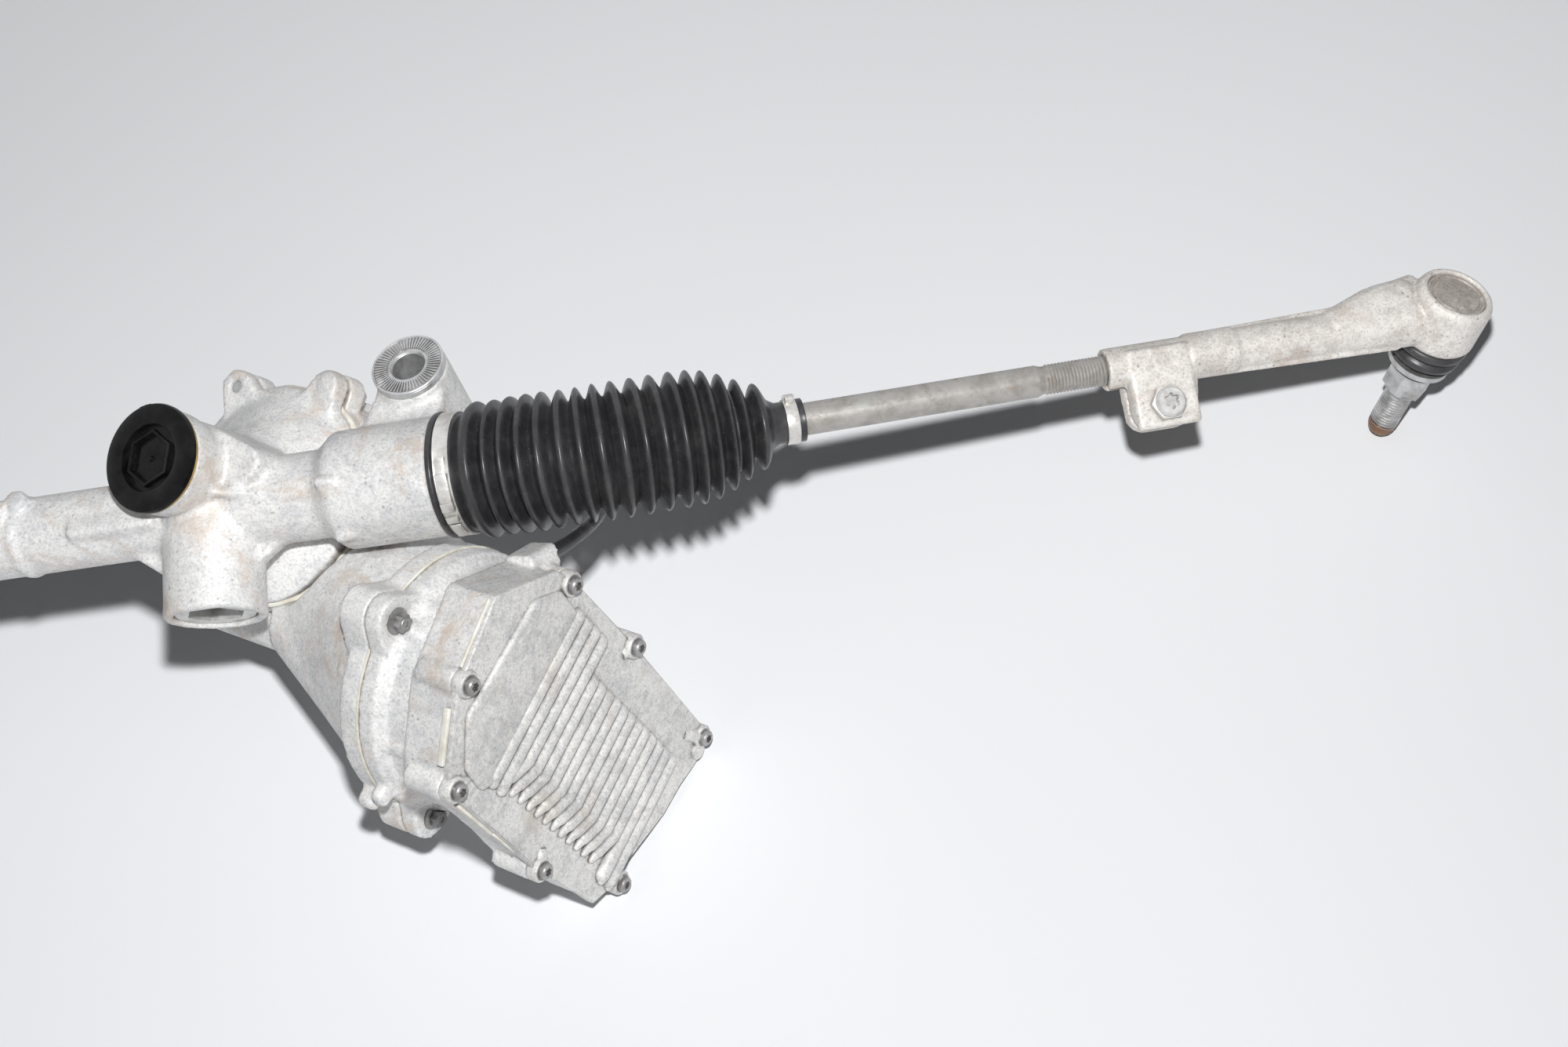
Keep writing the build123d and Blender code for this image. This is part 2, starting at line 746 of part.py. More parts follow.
def make_worm():
    """Two-start worm on its shaft."""
    end = FLANGE_M - 8
    twist = 360 * WORM_LENGTH / worm_lead
    with BuildPart() as worm:
        rod(WORM, -44, end, 6)
        rod(WORM, end - 8, end, 11)
        rod(WORM, -WORM_LENGTH / 2 - 14, WORM_LENGTH / 2 + 62, SHAFT_R)
        with BuildSketch(WORM.offset(-WORM_LENGTH / 2)) as threads:
            Circle(WORM_ROOT_R)
            with PolarLocations(0, WORM_STARTS, start_angle=-twist / 2):
                with BuildLine():
                    Polyline((8, -8), (WORM_TIP_R, -3.2), (WORM_TIP_R, 3.2), (8, 8), close=True)
                make_face()
            Circle(WORM_TIP_R, mode=Mode.INTERSECT)
        add(
            Solid.extrude_linear_with_rotation(
                threads.sketch.face(),
                WORM.offset(-WORM_LENGTH / 2).origin,
                WORM.z_dir * WORM_LENGTH,
                twist,
            )
        )
    return worm.part


def ring(plane, low, high, inner_r, outer_r):
    """Plain ring about a plane's normal."""
    with BuildPart() as band:
        rod(plane, low, high, outer_r)
        rod(plane, low, high, inner_r, Mode.SUBTRACT)
    return band.part


# Housing fittings

def make_pinion_cap():
    """Screw cap with a sunk hexagon and a raised centre."""
    seat = TOWER_TOP + SEAL_T
    top = seat + CAP_HEIGHT
    with BuildPart() as pinion_cap:
        turned(
            PINION,
            [
                (0, TOWER_TOP - 3),
                (BEARING_R - 0.1, TOWER_TOP - 3),
                (BEARING_R - 0.1, seat),
                (CAP_R - 1, seat),
                (CAP_R, seat + 1.5),
                (CAP_R, top - 2.5),
                (CAP_R - 2.5, top),
                (0, top),
            ],
        )
        with BuildSketch(PINION.offset(top)) as ring_cut:
            Circle(CAP_R - 7.5)
            RegularPolygon(CAP_R - 11, 6, major_radius=False, mode=Mode.SUBTRACT)
        extrude(ring_cut.sketch, amount=-1.4, mode=Mode.SUBTRACT)
        with BuildSketch(PINION.offset(top)) as hexagon:
            RegularPolygon(CAP_R - 13, 6, major_radius=False)
            Circle(2, mode=Mode.SUBTRACT)
        extrude(hexagon.sketch, amount=-1.4, mode=Mode.SUBTRACT)
    return pinion_cap.part


def make_yoke():
    """Sliding block that presses the bar against the pinion."""
    with BuildPart() as yoke:
        rod(YOKE, BAR_R / 2, spring_line - 7.3, YOKE_BORE_R - RUN_FIT)
        rod(YOKE, spring_line - 12, spring_line - 7.3, 6.5, Mode.SUBTRACT)
        rod(RACK, DRIVE_X - 30, DRIVE_X + 30, BAR_R + RUN_FIT, Mode.SUBTRACT)
    return yoke.part


def make_yoke_spring():
    """Pair of disc springs, rim to rim."""
    low = spring_line - 7.3
    middle = spring_line - 3.65
    with BuildPart() as yoke_spring:
        turned(
            YOKE,
            [
                (8, low),
                (18, middle - 0.9),
                (18, middle + 0.9),
                (8, spring_line),
                (8, spring_line - 1.5),
                (15, middle),
                (8, low + 1.5),
            ],
        )
    return yoke_spring.part


def make_yoke_plug():
    """Threaded plug with a wide hexagon socket."""
    face = YOKE_LENGTH - PLUG_RECESS
    with BuildPart() as yoke_plug:
        turned(
            YOKE,
            [
                (0, spring_line),
                (YOKE_BORE_R, spring_line),
                (YOKE_BORE_R, face - 1),
                (YOKE_BORE_R - 1, face),
                (0, face),
            ],
        )
        with BuildSketch(YOKE.offset(face)) as socket:
            RegularPolygon(12.7, 6, major_radius=False)
        extrude(socket.sketch, amount=-6, mode=Mode.SUBTRACT)
    return yoke_plug.part


def make_bush():
    """Steel mounting sleeve with a flanged head."""
    half = BUSH_LENGTH / 2
    with BuildPart() as bush:
        turned(
            Plane.XY,
            [
                (BUSH_BORE_R, -half),
                (BUSH_R, -half),
                (BUSH_R, bush_head_level),
                (BUSH_HEAD_R, bush_head_level),
                (BUSH_HEAD_R, half - 0.6),
                (BUSH_HEAD_R - 0.6, half),
                (BUSH_BORE_R + 1, half),
                (BUSH_BORE_R, half - 1.2),
            ],
        )
    return bush.part


def make_bolts(plane, spots, tip, seat, shank_r, head_r, head_t):
    """Hexagon bolts whose heads sit on the far side of their seat."""
    way = 1 if seat > tip else -1
    with BuildPart() as bolts:
        for x, y in spots:
            axis_at = beside(plane, x, y)
            rod(axis_at, tip, seat, shank_r)
            rod(axis_at, seat, seat + way * 1.2, head_r + 0.6)
            with BuildSketch(axis_at.offset(seat + way * 1.2)) as head:
                RegularPolygon(head_r, 6)
            extrude(head.sketch, amount=way * head_t)
    return bolts.part


def make_sensor_housing():
    """Torque sensor cover over the steering pinion."""
    low = STEER_TOP
    with BuildPart() as sensor_housing:
        turned(
            STEER,
            [
                (0, low),
                (STEER_TOWER_R + 8, low),
                (STEER_TOWER_R + 8, low + 5),
                (STEER_TOWER_R, low + 5),
                (STEER_TOWER_R, low + 28),
                (STEER_TOWER_R - 6, low + 34),
                (STEER_TOWER_R - 7, low + 58),
                (STEER_TOWER_R - 9, low + 60),
                (0, low + 60),
            ],
        )
        with BuildSketch(cable_end(STEER, SENSOR_PLUG, CABLE_CORNERS[-1])) as shell:
            RectangleRounded(15, 17, 3)
        extrude(shell.sketch, amount=-16)
        rod(STEER, low, low + 20, 19, Mode.SUBTRACT)
        rod(STEER, low, low + 32, 13, Mode.SUBTRACT)
        rod(STEER, low, low + 60, 9 + RUN_FIT, Mode.SUBTRACT)
        holes(STEER, low, low + 5, SENSOR_SCREWS, 2.1)
    return sensor_housing.part


def make_input_shaft():
    """Splined steering input with its thrust collar."""
    low = STEER_TOP + 26
    with BuildPart() as input_shaft:
        rod(STEER, low, STEER_TOP + 64, 9)
        rod(STEER, low, STEER_TOP + 32 - RUN_FIT, 12.5)
        rod(STEER, STEER_TOP + 64, STEER_TOP + 98, 8)
        with BuildSketch(STEER.offset(STEER_TOP + 68)) as splines:
            with PolarLocations(8, 18):
                Rectangle(1.2, 1.2)
        extrude(splines.sketch, amount=26, mode=Mode.SUBTRACT)
        rod(STEER, low, low + 2, 5, Mode.SUBTRACT)
    return input_shaft.part


# Motor insides

def make_rotor():
    """Motor rotor with its coupling hub."""
    low = FLANGE_M + 10
    with BuildPart() as rotor:
        rod(WORM, FLANGE_M - 8, low, 11)
        rod(WORM, low, low + 32, ROTOR_R)
        rod(WORM, low, FLANGE_M + MOTOR_LENGTH - 1, 6)
    return rotor.part


def make_stator():
    """Slotted stator ring pressed into the motor bowl."""
    low = FLANGE_M + 8
    slot_in = ROTOR_R + ROTOR_GAP + 3.4
    slot_out = MOTOR_R - MOTOR_WALL - BACK_IRON
    with BuildPart() as stator:
        rod(WORM, low, low + 36, MOTOR_R - MOTOR_WALL)
        rod(WORM, low, low + 36, ROTOR_R + ROTOR_GAP, Mode.SUBTRACT)
        with BuildSketch(WORM.offset(low)) as slots:
            with PolarLocations((slot_in + slot_out) / 2, 12):
                Rectangle(slot_out - slot_in, 7)
        extrude(slots.sketch, amount=36, mode=Mode.SUBTRACT)
    return stator.part


# Steering linkage

def make_tie_rod():
    """Ball, neck, rod and threaded end in one turned piece."""
    with BuildPart() as tie_rod:
        with Locations(ROD.location):
            Sphere(INNER_BALL_R)
        turned(
            ROD,
            [
                (0, 0),
                (NECK_R, 0),
                (NECK_R, 30),
                (TIE_ROD_R, 36),
                (TIE_ROD_R, TIE_STEP),
                (TIE_THREAD_R, TIE_STEP + 3),
                (TIE_THREAD_R, TIE_END - 1),
                (TIE_THREAD_R - 1, TIE_END),
                (0, TIE_END),
            ],
        )
    return tie_rod.part


def make_tie_rod_end():
    """Forged end: split clamp sleeve, shank and ball head."""
    cup_r = OUTER_BALL_R + OUTER_LINER + 2 * RUN_FIT
    lip = 6.5
    with BuildPart() as tie_rod_end:
        turned(
            ROD,
            [
                (0, SLEEVE_START),
                (SLEEVE_R, SLEEVE_START),
                (SLEEVE_R, OUTER_BALL - 60),
                (SLEEVE_R + 2.5, OUTER_BALL - 24),
                (SLEEVE_R + 2.5, OUTER_BALL - 4),
                (0, OUTER_BALL - 4),
            ],
        )
        with BuildSketch(ROD.offset(CLAMP_AT - 16.5)) as cheeks:
            with Locations((0, CLAMP_DROP / 2)):
                Rectangle(2 * CLAMP_HALF, CLAMP_DROP)
        extrude(cheeks.sketch, amount=33)
        drop = Plane(beside(ROD, 0, 0, CLAMP_AT).origin, x_dir=ROD.z_dir, z_dir=ROD.x_dir)
        corners = tie_rod_end.part.edges().filter_by(Axis(drop.origin, drop.z_dir)).sort_by(
            Axis(drop.origin, ROD.y_dir)
        )[-2:]
        fillet(corners, 9)
        turned(
            HEAD,
            [
                (0, -HEAD_HALF),
                (HEAD_R - 2, -HEAD_HALF),
                (HEAD_R, -HEAD_HALF + 3),
                (HEAD_R, HEAD_HALF - 2),
                (HEAD_R - 1.5, HEAD_HALF + 1),
                (0, HEAD_HALF + 1),
            ],
        )
        rod(ROD, SLEEVE_START, TIE_END + 2, TIE_THREAD_R + RUN_FIT, Mode.SUBTRACT)
        with BuildSketch(ROD.offset(SLEEVE_START)) as slit:
            with Locations((0, CLAMP_DROP / 2 + 4)):
                Rectangle(3, CLAMP_DROP)
        extrude(slit.sketch, amount=CLAMP_AT + 18 - SLEEVE_START, mode=Mode.SUBTRACT)
        rod(clamp_axis, -30, 30, CLAMP_BOLT_R + 0.1, Mode.SUBTRACT)
        rod(HEAD, -HEAD_HALF - 12, -HEAD_HALF, HEAD_R + 0.5, Mode.SUBTRACT)
        rod(HEAD, 0, HEAD_HALF + 1, cup_r, Mode.SUBTRACT)
        rod(HEAD, cup_r, HEAD_HALF + 1, HEAD_R - 4.5, Mode.SUBTRACT)
        with Locations(HEAD.location):
            Sphere(cup_r, mode=Mode.SUBTRACT)
        mouth = sqrt(cup_r**2 - lip**2)
        turned(
            HEAD,
            [(0, -lip + 1), (mouth, -lip + 1), (mouth, -lip), (14, -HEAD_HALF - 0.5), (0, -HEAD_HALF - 0.5)],
            Mode.SUBTRACT,
        )
    return tie_rod_end.part


def make_head_cap():
    """Pressed steel disc that closes the outer ball head."""
    cup_r = OUTER_BALL_R + OUTER_LINER + 2 * RUN_FIT
    with BuildPart() as head_cap:
        turned(
            HEAD,
            [
                (0, cup_r),
                (HEAD_R - 4.5, cup_r),
                (HEAD_R - 4.5, cup_r + 1.2),
                (HEAD_R - 7, cup_r + 1.6),
                (0, cup_r + 1.6),
            ],
        )
    return head_cap.part


def make_clamp_bolt():
    """Clamp bolt with its hexagon head and nut."""
    with BuildPart() as clamp_bolt:
        rod(clamp_axis, -CLAMP_HALF - 6, CLAMP_HALF, CLAMP_BOLT_R)
        rod(clamp_axis, CLAMP_HALF, CLAMP_HALF + 1.5, 8.6)
        for start, height in ((CLAMP_HALF + 1.5, 4.5), (-CLAMP_HALF - 6, 6)):
            with BuildSketch(clamp_axis.offset(start)) as hexagon:
                RegularPolygon(6.5, 6, major_radius=False)
            extrude(hexagon.sketch, amount=height)
        rod(clamp_axis, CLAMP_HALF + 6, CLAMP_HALF + 9, 5.6)
    return clamp_bolt.part


def make_ball_stud():
    """Outer ball stud with its washer flange, nut and thread."""
    with BuildPart() as ball_stud:
        with Locations(HEAD.location):
            Sphere(OUTER_BALL_R)
        turned(
            HEAD,
            [
                (0, 0),
                (STUD_NECK_R, 0),
                (STUD_NECK_R, -16),
                (8.5, -30),
                (16, -30),
                (16, -33),
                (8, -33),
                (8, -37),
                (6.9, -37),
                (6.9, -80),
                (4.5, -84),
                (0, -84),
            ],
        )
    return ball_stud.part


def make_stud_nut():
    """Collar nut on the outer ball stud."""
    with BuildPart() as stud_nut:
        with BuildSketch(HEAD.offset(-52)) as flats:
            RegularPolygon(10.4, 6, major_radius=False)
        extrude(flats.sketch, amount=15)
        rod(HEAD, -52, -37, 6.9, Mode.SUBTRACT)
    return stud_nut.part


def make_dust_boot():
    """Two-fold rubber boot between head and stud flange."""
    low = -HEAD_HALF
    with BuildPart() as dust_boot:
        turned(
            HEAD,
            [
                (HEAD_R - 4.6, low),
                (HEAD_R - 1.5, low),
                (HEAD_R - 1, low - 3.5),
                (HEAD_R - 4, low - 6),
                (HEAD_R - 1.5, low - 9),
                (HEAD_R - 2.5, low - 12),
                (10, low - 16),
                (8.6, low - 16),
                (8.6, low - 14.5),
                (HEAD_R - 6, low - 11),
                (HEAD_R - 8, low - 6),
                (HEAD_R - 4.8, low - 3),
            ],
        )
    return dust_boot.part


def bellows_path(s):
    """Point and heading of the bellows centre line, s from the inner ball."""
    along = Vector(1, 0, 0)
    if s <= -BEND_HALF:
        return Plane(ball_centre + along * s, z_dir=along)
    if s >= BEND_HALF:
        return Plane(ball_centre + tie_way * s, z_dir=tie_way)
    before = BEND_HALF - s
    after = BEND_HALF + s
    spot = tie_way * (after**2) - along * (before**2)
    return Plane(ball_centre + spot / (4 * BEND_HALF), z_dir=along * before + tie_way * after)


def tube_along(stations):
    """Ruled skin through (distance, radius) circles on the bellows line."""
    discs = []
    for s, radius in stations:
        with BuildSketch(bellows_path(s)) as disc:
            Circle(radius)
        discs.append(disc.sketch.face())
    return Solid.make_loft([d.outer_wire() for d in discs], ruled=True)


def make_bellows():
    """Rubber bellows from the housing collar to the tie rod."""
    cuff = HOUSING_END + 1 - BALL_X
    start = HOUSING_END - COLLAR_LENGTH - BALL_X
    pitch = (FIRST_RIB + LAST_RIB) / (RIBS - 1)
    outer = [(start, COLLAR_R + 2.5), (cuff, COLLAR_R + 2.5)]
    for k in range(RIBS):
        taper = max(0, k - RIBS + 5) * TAPER
        crest = -FIRST_RIB + k * pitch
        outer.append((crest - pitch / 2, RIB_R - RIB_DEPTH - taper))
        outer.append((crest - 1, RIB_R - taper))
        outer.append((crest + 1, RIB_R - taper))
    small = LAST_RIB + pitch / 2
    outer += [(small, TIE_ROD_R + 4), (small + 2, TIE_ROD_R + 2.1), (small + 16, TIE_ROD_R + 2.1)]
    groove = RIB_R - RIB_DEPTH - BELLOWS_WALL
    inner = [(start, COLLAR_R), (HOUSING_END - BALL_X, COLLAR_R), (cuff, groove)]
    inner += [(-BEND_HALF + k * BEND_HALF / 2, groove) for k in range(5)]
    inner += [(LAST_RIB - 4.5 * pitch, groove), (LAST_RIB - pitch / 2, groove - 4 * TAPER)]
    inner += [(small, TIE_ROD_R + 1), (small + 2, TIE_ROD_R), (small + 16, TIE_ROD_R)]
    with BuildPart() as bellows:
        add(tube_along(outer))
        add(tube_along(inner), mode=Mode.SUBTRACT)
    return bellows.part


def make_band_clamp():
    """Stainless band with its tightening ear, round the large cuff."""
    start = HOUSING_END - COLLAR_LENGTH + 1
    band_r = COLLAR_R + 2.5
    with BuildPart() as band_clamp:
        rod(RACK, start, start + 7, band_r + 1)
        rod(RACK, start, start + 7, band_r, Mode.SUBTRACT)
        ear = Plane(Location((0, RACK_Y, 0), (150, 0, 0)))
        with BuildSketch(ear.offset(band_r)) as buckle:
            with Locations((start + 3.5, 0)):
                RectangleRounded(6, 10, 1)
        extrude(buckle.sketch, amount=3)
    return band_clamp.part


# Sensor cable

def make_sensor_cable():
    """Cable from the electronics round the gear bowl to the torque sensor."""
    start = cable_end(ECU, CABLE_PLUG, CABLE_CORNERS[0]).origin
    end = cable_end(STEER, SENSOR_PLUG, CABLE_CORNERS[-1]).origin
    corners = [start, *[Vector(*p) for p in CABLE_CORNERS], end]
    runs = [corners[k + 1] - corners[k] for k in range(len(corners) - 1)]
    radii = []
    for before, after in zip(runs, runs[1:]):
        half_turn = radians(before.get_angle(after)) / 2
        radii.append(0.45 * min(before.length, after.length) / tan(half_turn))
    print("cable bend radii", [round(r) for r in radii])
    with BuildPart() as sensor_cable:
        with BuildLine():
            route = FilletPolyline(*corners, radius=radii)
        with BuildSketch(Plane(start, z_dir=runs[0])) as section:
            Circle(CABLE_R)
        sweep(section.sketch, path=route)
    print("cable length", round(route.length))
    return sensor_cable.part


def make_cable_clip():
    """Clip that holds the cable against the housing tube."""
    before = Vector(*CABLE_CORNERS[CLIPPED_RUN])
    after = Vector(*CABLE_CORNERS[CLIPPED_RUN + 1])
    grip = Plane((before + after) / 2, x_dir=(0, 1, 0), z_dir=after - before)
    with BuildPart() as cable_clip:
        reach = grip.to_local_coords(Vector(grip.origin.X, RACK_Y, 0))
        share = (TUBE_R - 2) / sqrt(reach.X**2 + reach.Y**2)
        foot = (reach.X * (1 - share), reach.Y * (1 - share))
        lug(grip, -4, 4, [(0, 0, CABLE_R + 2), (foot[0], foot[1], 5)])
        rod(grip, -6, 6, CABLE_R, Mode.SUBTRACT)
        rod(RACK, CENTRE_X - 90, CENTRE_X + 90, TUBE_R, Mode.SUBTRACT)
    return cable_clip.part


clamp_spot = ROD.from_local_coords(Vector(0, CLAMP_BOLT_DROP, CLAMP_AT))
clamp_axis = Plane(clamp_spot, x_dir=ROD.y_dir, z_dir=ROD.x_dir)

# Write every sub-part
bowl_floor = LID_LEVEL - SEAL_T - BOWL_DEPTH
bowl_rim = LID_LEVEL - SEAL_T
motor_end = FLANGE_M + MOTOR_LENGTH

save(make_rack_housing(), "rack_housing")
save(make_gear_housing(), "gear_housing")
save(ring(PINION, bowl_rim, LID_LEVEL, WHEEL_CHAMBER_R, LID_R + 0.4), "gear_seal")
save(make_motor_housing(), "motor_housing")
save(make_ecu_frame(), "ecu_frame")
save(make_cover_gasket(), "cover_gasket")
save(make_ecu_cover(), "ecu_cover")
save(make_cover_screws(), "cover_screws")
save(make_circuit_board(), "circuit_board")
save(make_pinion_cap(), "pinion_cap")
save(ring(PINION, TOWER_TOP, TOWER_TOP + SEAL_T, BEARING_R, TOWER_R + 1.3), "cap_seal")
save(make_yoke(), "yoke")
save(make_yoke_spring(), "yoke_spring")
save(make_yoke_plug(), "yoke_plug")
save_set([make_bush(), mirror(make_bush(), about=MIRROR)], "mount_bushes")
slide_bush = ring(RACK, -38, -23, BAR_R + RUN_FIT, BORE_R)
save_set([slide_bush, mirror(slide_bush, about=MIRROR)], "rack_bushes")
save(make_bolts(PINION, LID_BOLTS, LID_LEVEL + 7, bowl_rim - 12, 3.1, 5.2, 4), "lid_bolts")
save(make_bolts(WORM, FLANGE_BOLTS, FLANGE_M - 8, FLANGE_M + 10, 3.8, 6.2, 5), "flange_bolts")
save(make_sensor_housing(), "sensor_housing")
save(make_bolts(STEER, SENSOR_SCREWS, STEER_TOP - 5, STEER_TOP + 5, 2, 3.6, 3), "sensor_screws")
save(ring(STEER, STEER_TOP, STEER_TOP + 16, 10, 19), "torque_sensor")
pinion_bearings = [
    ring(PINION, 15, TOWER_TOP - 3, SHAFT_R + RUN_FIT, BEARING_R),
    ring(PINION, bowl_floor + 3, bowl_floor + 13, SHAFT_R + RUN_FIT, BEARING_R),
]
steering_bearings = [
    ring(STEER, 16, 26, SHAFT_R + RUN_FIT, 13),
    ring(STEER, -31, -21, SHAFT_R + RUN_FIT, 13),
]
worm_bearings = [
    ring(WORM, -45, -35, 6 + RUN_FIT, WORM_BORE_R),
    ring(WORM, 60, 72, SHAFT_R + RUN_FIT, WORM_BORE_R),
    ring(WORM, motor_end - 6, motor_end, 6 + RUN_FIT, 11),
]
save_set(pinion_bearings, "pinion_bearings")
save_set(steering_bearings, "steering_bearings")
save_set(worm_bearings, "worm_bearings")
save(make_stator(), "stator")
save(make_rotor(), "rotor")
save(make_rack_bar(), "rack_bar")
save(make_pinion_shaft(PINION, -100, 27), "drive_pinion")
save(make_pinion_shaft(STEER, -30, 54), "steering_pinion")
save(make_worm_wheel(), "worm_wheel")
save(make_worm(), "worm")
save(make_input_shaft(), "input_shaft")
save_pair(make_inner_socket(), "inner_socket")
liner_r = INNER_BALL_R + RUN_FIT
save_pair(ball_shell(ROD, liner_r, liner_r + INNER_LINER, radians(54)), "inner_liner")
save_pair(make_tie_rod(), "tie_rod")
save_pair(make_tie_rod_end(), "tie_rod_end")
save_pair(make_head_cap(), "head_cap")
save_pair(make_clamp_bolt(), "clamp_bolt")
cup_plane = Plane(HEAD.origin, x_dir=HEAD.x_dir, z_dir=-HEAD.z_dir)
cup_r = OUTER_BALL_R + RUN_FIT
save_pair(ball_shell(cup_plane, cup_r, cup_r + OUTER_LINER, radians(57)), "outer_liner")
save_pair(make_ball_stud(), "ball_stud")
save_pair(make_stud_nut(), "stud_nut")
save_pair(make_dust_boot(), "dust_boot")
save_pair(make_bellows(), "bellows")
save_set([make_band_clamp(), mirror(make_band_clamp(), about=MIRROR)], "band_clamps")
save(make_sensor_cable(), "sensor_cable")
save(make_cable_clip(), "cable_clip")
save_pair(ring(ROD, 101, 107, TIE_ROD_R + 2.1, TIE_ROD_R + 3.1), "small_clamp")
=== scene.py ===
"""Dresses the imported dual-pinion steering rack: soft castings, rubber, threads, screws and finishes."""

import logging
import math
from contextlib import contextmanager
from dataclasses import dataclass
from enum import Enum
from typing import Callable, ClassVar, Iterable, Iterator

import bmesh
import bpy
from mathutils import Matrix, Vector


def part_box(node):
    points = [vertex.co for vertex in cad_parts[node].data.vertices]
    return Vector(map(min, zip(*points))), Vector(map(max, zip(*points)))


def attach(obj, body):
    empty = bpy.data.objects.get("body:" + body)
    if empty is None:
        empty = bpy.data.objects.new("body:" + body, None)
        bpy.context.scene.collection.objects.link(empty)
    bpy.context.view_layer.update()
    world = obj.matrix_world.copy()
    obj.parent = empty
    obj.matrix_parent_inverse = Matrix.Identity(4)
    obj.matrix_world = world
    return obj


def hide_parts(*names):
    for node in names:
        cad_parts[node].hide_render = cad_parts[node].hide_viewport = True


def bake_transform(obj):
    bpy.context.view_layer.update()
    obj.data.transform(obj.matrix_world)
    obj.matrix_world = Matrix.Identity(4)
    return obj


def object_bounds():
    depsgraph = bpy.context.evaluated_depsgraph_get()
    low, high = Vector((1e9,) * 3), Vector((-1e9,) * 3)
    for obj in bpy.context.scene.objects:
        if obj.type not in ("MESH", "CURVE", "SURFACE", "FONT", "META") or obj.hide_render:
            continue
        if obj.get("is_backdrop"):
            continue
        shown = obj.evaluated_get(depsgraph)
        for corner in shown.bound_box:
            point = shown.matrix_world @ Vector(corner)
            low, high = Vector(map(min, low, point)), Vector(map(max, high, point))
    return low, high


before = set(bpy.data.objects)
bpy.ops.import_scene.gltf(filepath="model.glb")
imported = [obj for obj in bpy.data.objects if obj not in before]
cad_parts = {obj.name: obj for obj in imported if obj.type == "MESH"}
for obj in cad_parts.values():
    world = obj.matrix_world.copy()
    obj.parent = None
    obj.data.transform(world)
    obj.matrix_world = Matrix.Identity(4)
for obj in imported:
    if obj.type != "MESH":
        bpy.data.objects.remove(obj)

LOG = logging.getLogger("steering_rack")
Mesh = bmesh.types.BMesh
Vert = bmesh.types.BMVert
Edge = bmesh.types.BMEdge
Face = bmesh.types.BMFace
Socket = bpy.types.NodeSocket
Sockets = dict[str, Socket]
MM = 0.001
TURN = 2 * math.pi
WELD = 1e-4
AXIS = {"cent": (0, 0, 0), "axis": (0, 0, 1)}
Point = tuple[float, float, float]
Colour = tuple[float, float, float]
Outline = tuple[tuple[float, float], ...]


# Frames that the sub-assemblies are drawn in


@dataclass(frozen=True)
class Seat:
    """A place to draw in millimetres: its origin and axes are given in the row frame, in metres."""

    origin: Point
    across: Point
    upward: Point
    along: Point

    def matrix(self) -> Matrix:
        """Matrix from this seat's millimetres to the row frame's metres."""
        columns = [Vector(axis) * MM for axis in (self.across, self.upward, self.along)]
        grid = Matrix.Identity(4)
        for index, column in enumerate([*columns, Vector(self.origin)]):
            for row in range(3):
                grid[row][index] = column[row]
        return grid


RACK = Seat((0, -0.051, 0), (0, 1, 0), (0, 0, 1), (1, 0, 0))
PINION = Seat(
    (-0.105, -0.03524, 0.00637),
    (0.96593, -0.09696, 0.23997),
    (0, 0.92718, 0.37461),
    (-0.25882, -0.36184, 0.89559),
)
YOKE = Seat((-0.105, -0.051, 0), (1, 0, 0), (0, -0.37461, 0.92718), (0, -0.92718, -0.37461))
WORM = Seat(
    (-0.10827, -0.05353, -0.09353),
    (0.40822, 0.79934, 0.44093),
    (-0.25882, -0.36184, 0.89559),
    (0.87543, -0.47972, 0.05917),
)
ECU = Seat(
    (-0.11241, -0.05932, -0.0792),
    (-0.46863, -0.87237, -0.13914),
    (0.11837, 0.09408, -0.9885),
    (0.87543, -0.47972, 0.05917),
)
ROD = Seat(
    (0.08, -0.051, 0),
    (0.34346, -0.49676, 0.79703),
    (0.05415, -0.83678, -0.54486),
    (0.9376, 0.2303, -0.2605),
)
HEAD = Seat(
    (0.49817, 0.05171, -0.11619),
    (-0.8331, -0.33867, 0.43732),
    (0.35395, -0.93398, -0.04902),
    (0.42505, 0.11395, 0.89797),
)
CLAMP = Seat(
    (0.35169, -0.00297, -0.08714),
    (0.05415, -0.83678, -0.54486),
    (0.9376, 0.2303, -0.2605),
    (0.34346, -0.49676, 0.79703),
)
CENTRE_X = -0.210


class Side(Enum):
    """The two ends of the rack. The left one is the right one mirrored."""

    RIGHT = "right"
    LEFT = "left"

    def turned(self, matrix: Matrix) -> Matrix:
        """The matrix itself on the right, and its mirror image on the left."""
        if self is Side.RIGHT:
            return matrix
        flip = Matrix.Translation((2 * CENTRE_X, 0, 0)) @ Matrix.Scale(-1, 4, (1, 0, 0))
        return flip @ matrix


# Shapes, drawn in millimetres


def at(x: float, y: float, z: float = 0.0) -> Matrix:
    """Matrix that moves a shape to this spot."""
    return Matrix.Translation((x, y, z))


def spun(bearing: float) -> Matrix:
    """Turn about z by a bearing in degrees."""
    return Matrix.Rotation(math.radians(bearing), 4, "Z")


def newer(bm: Mesh, known: set[Vert]) -> list[Vert]:
    """Vertices that aren't among the known ones."""
    return [vert for vert in bm.verts if vert not in known]


def edges_in(items: Iterable[object]) -> list[Edge]:
    """The edges among a mesh's elements."""
    return [item for item in items if isinstance(item, Edge)]


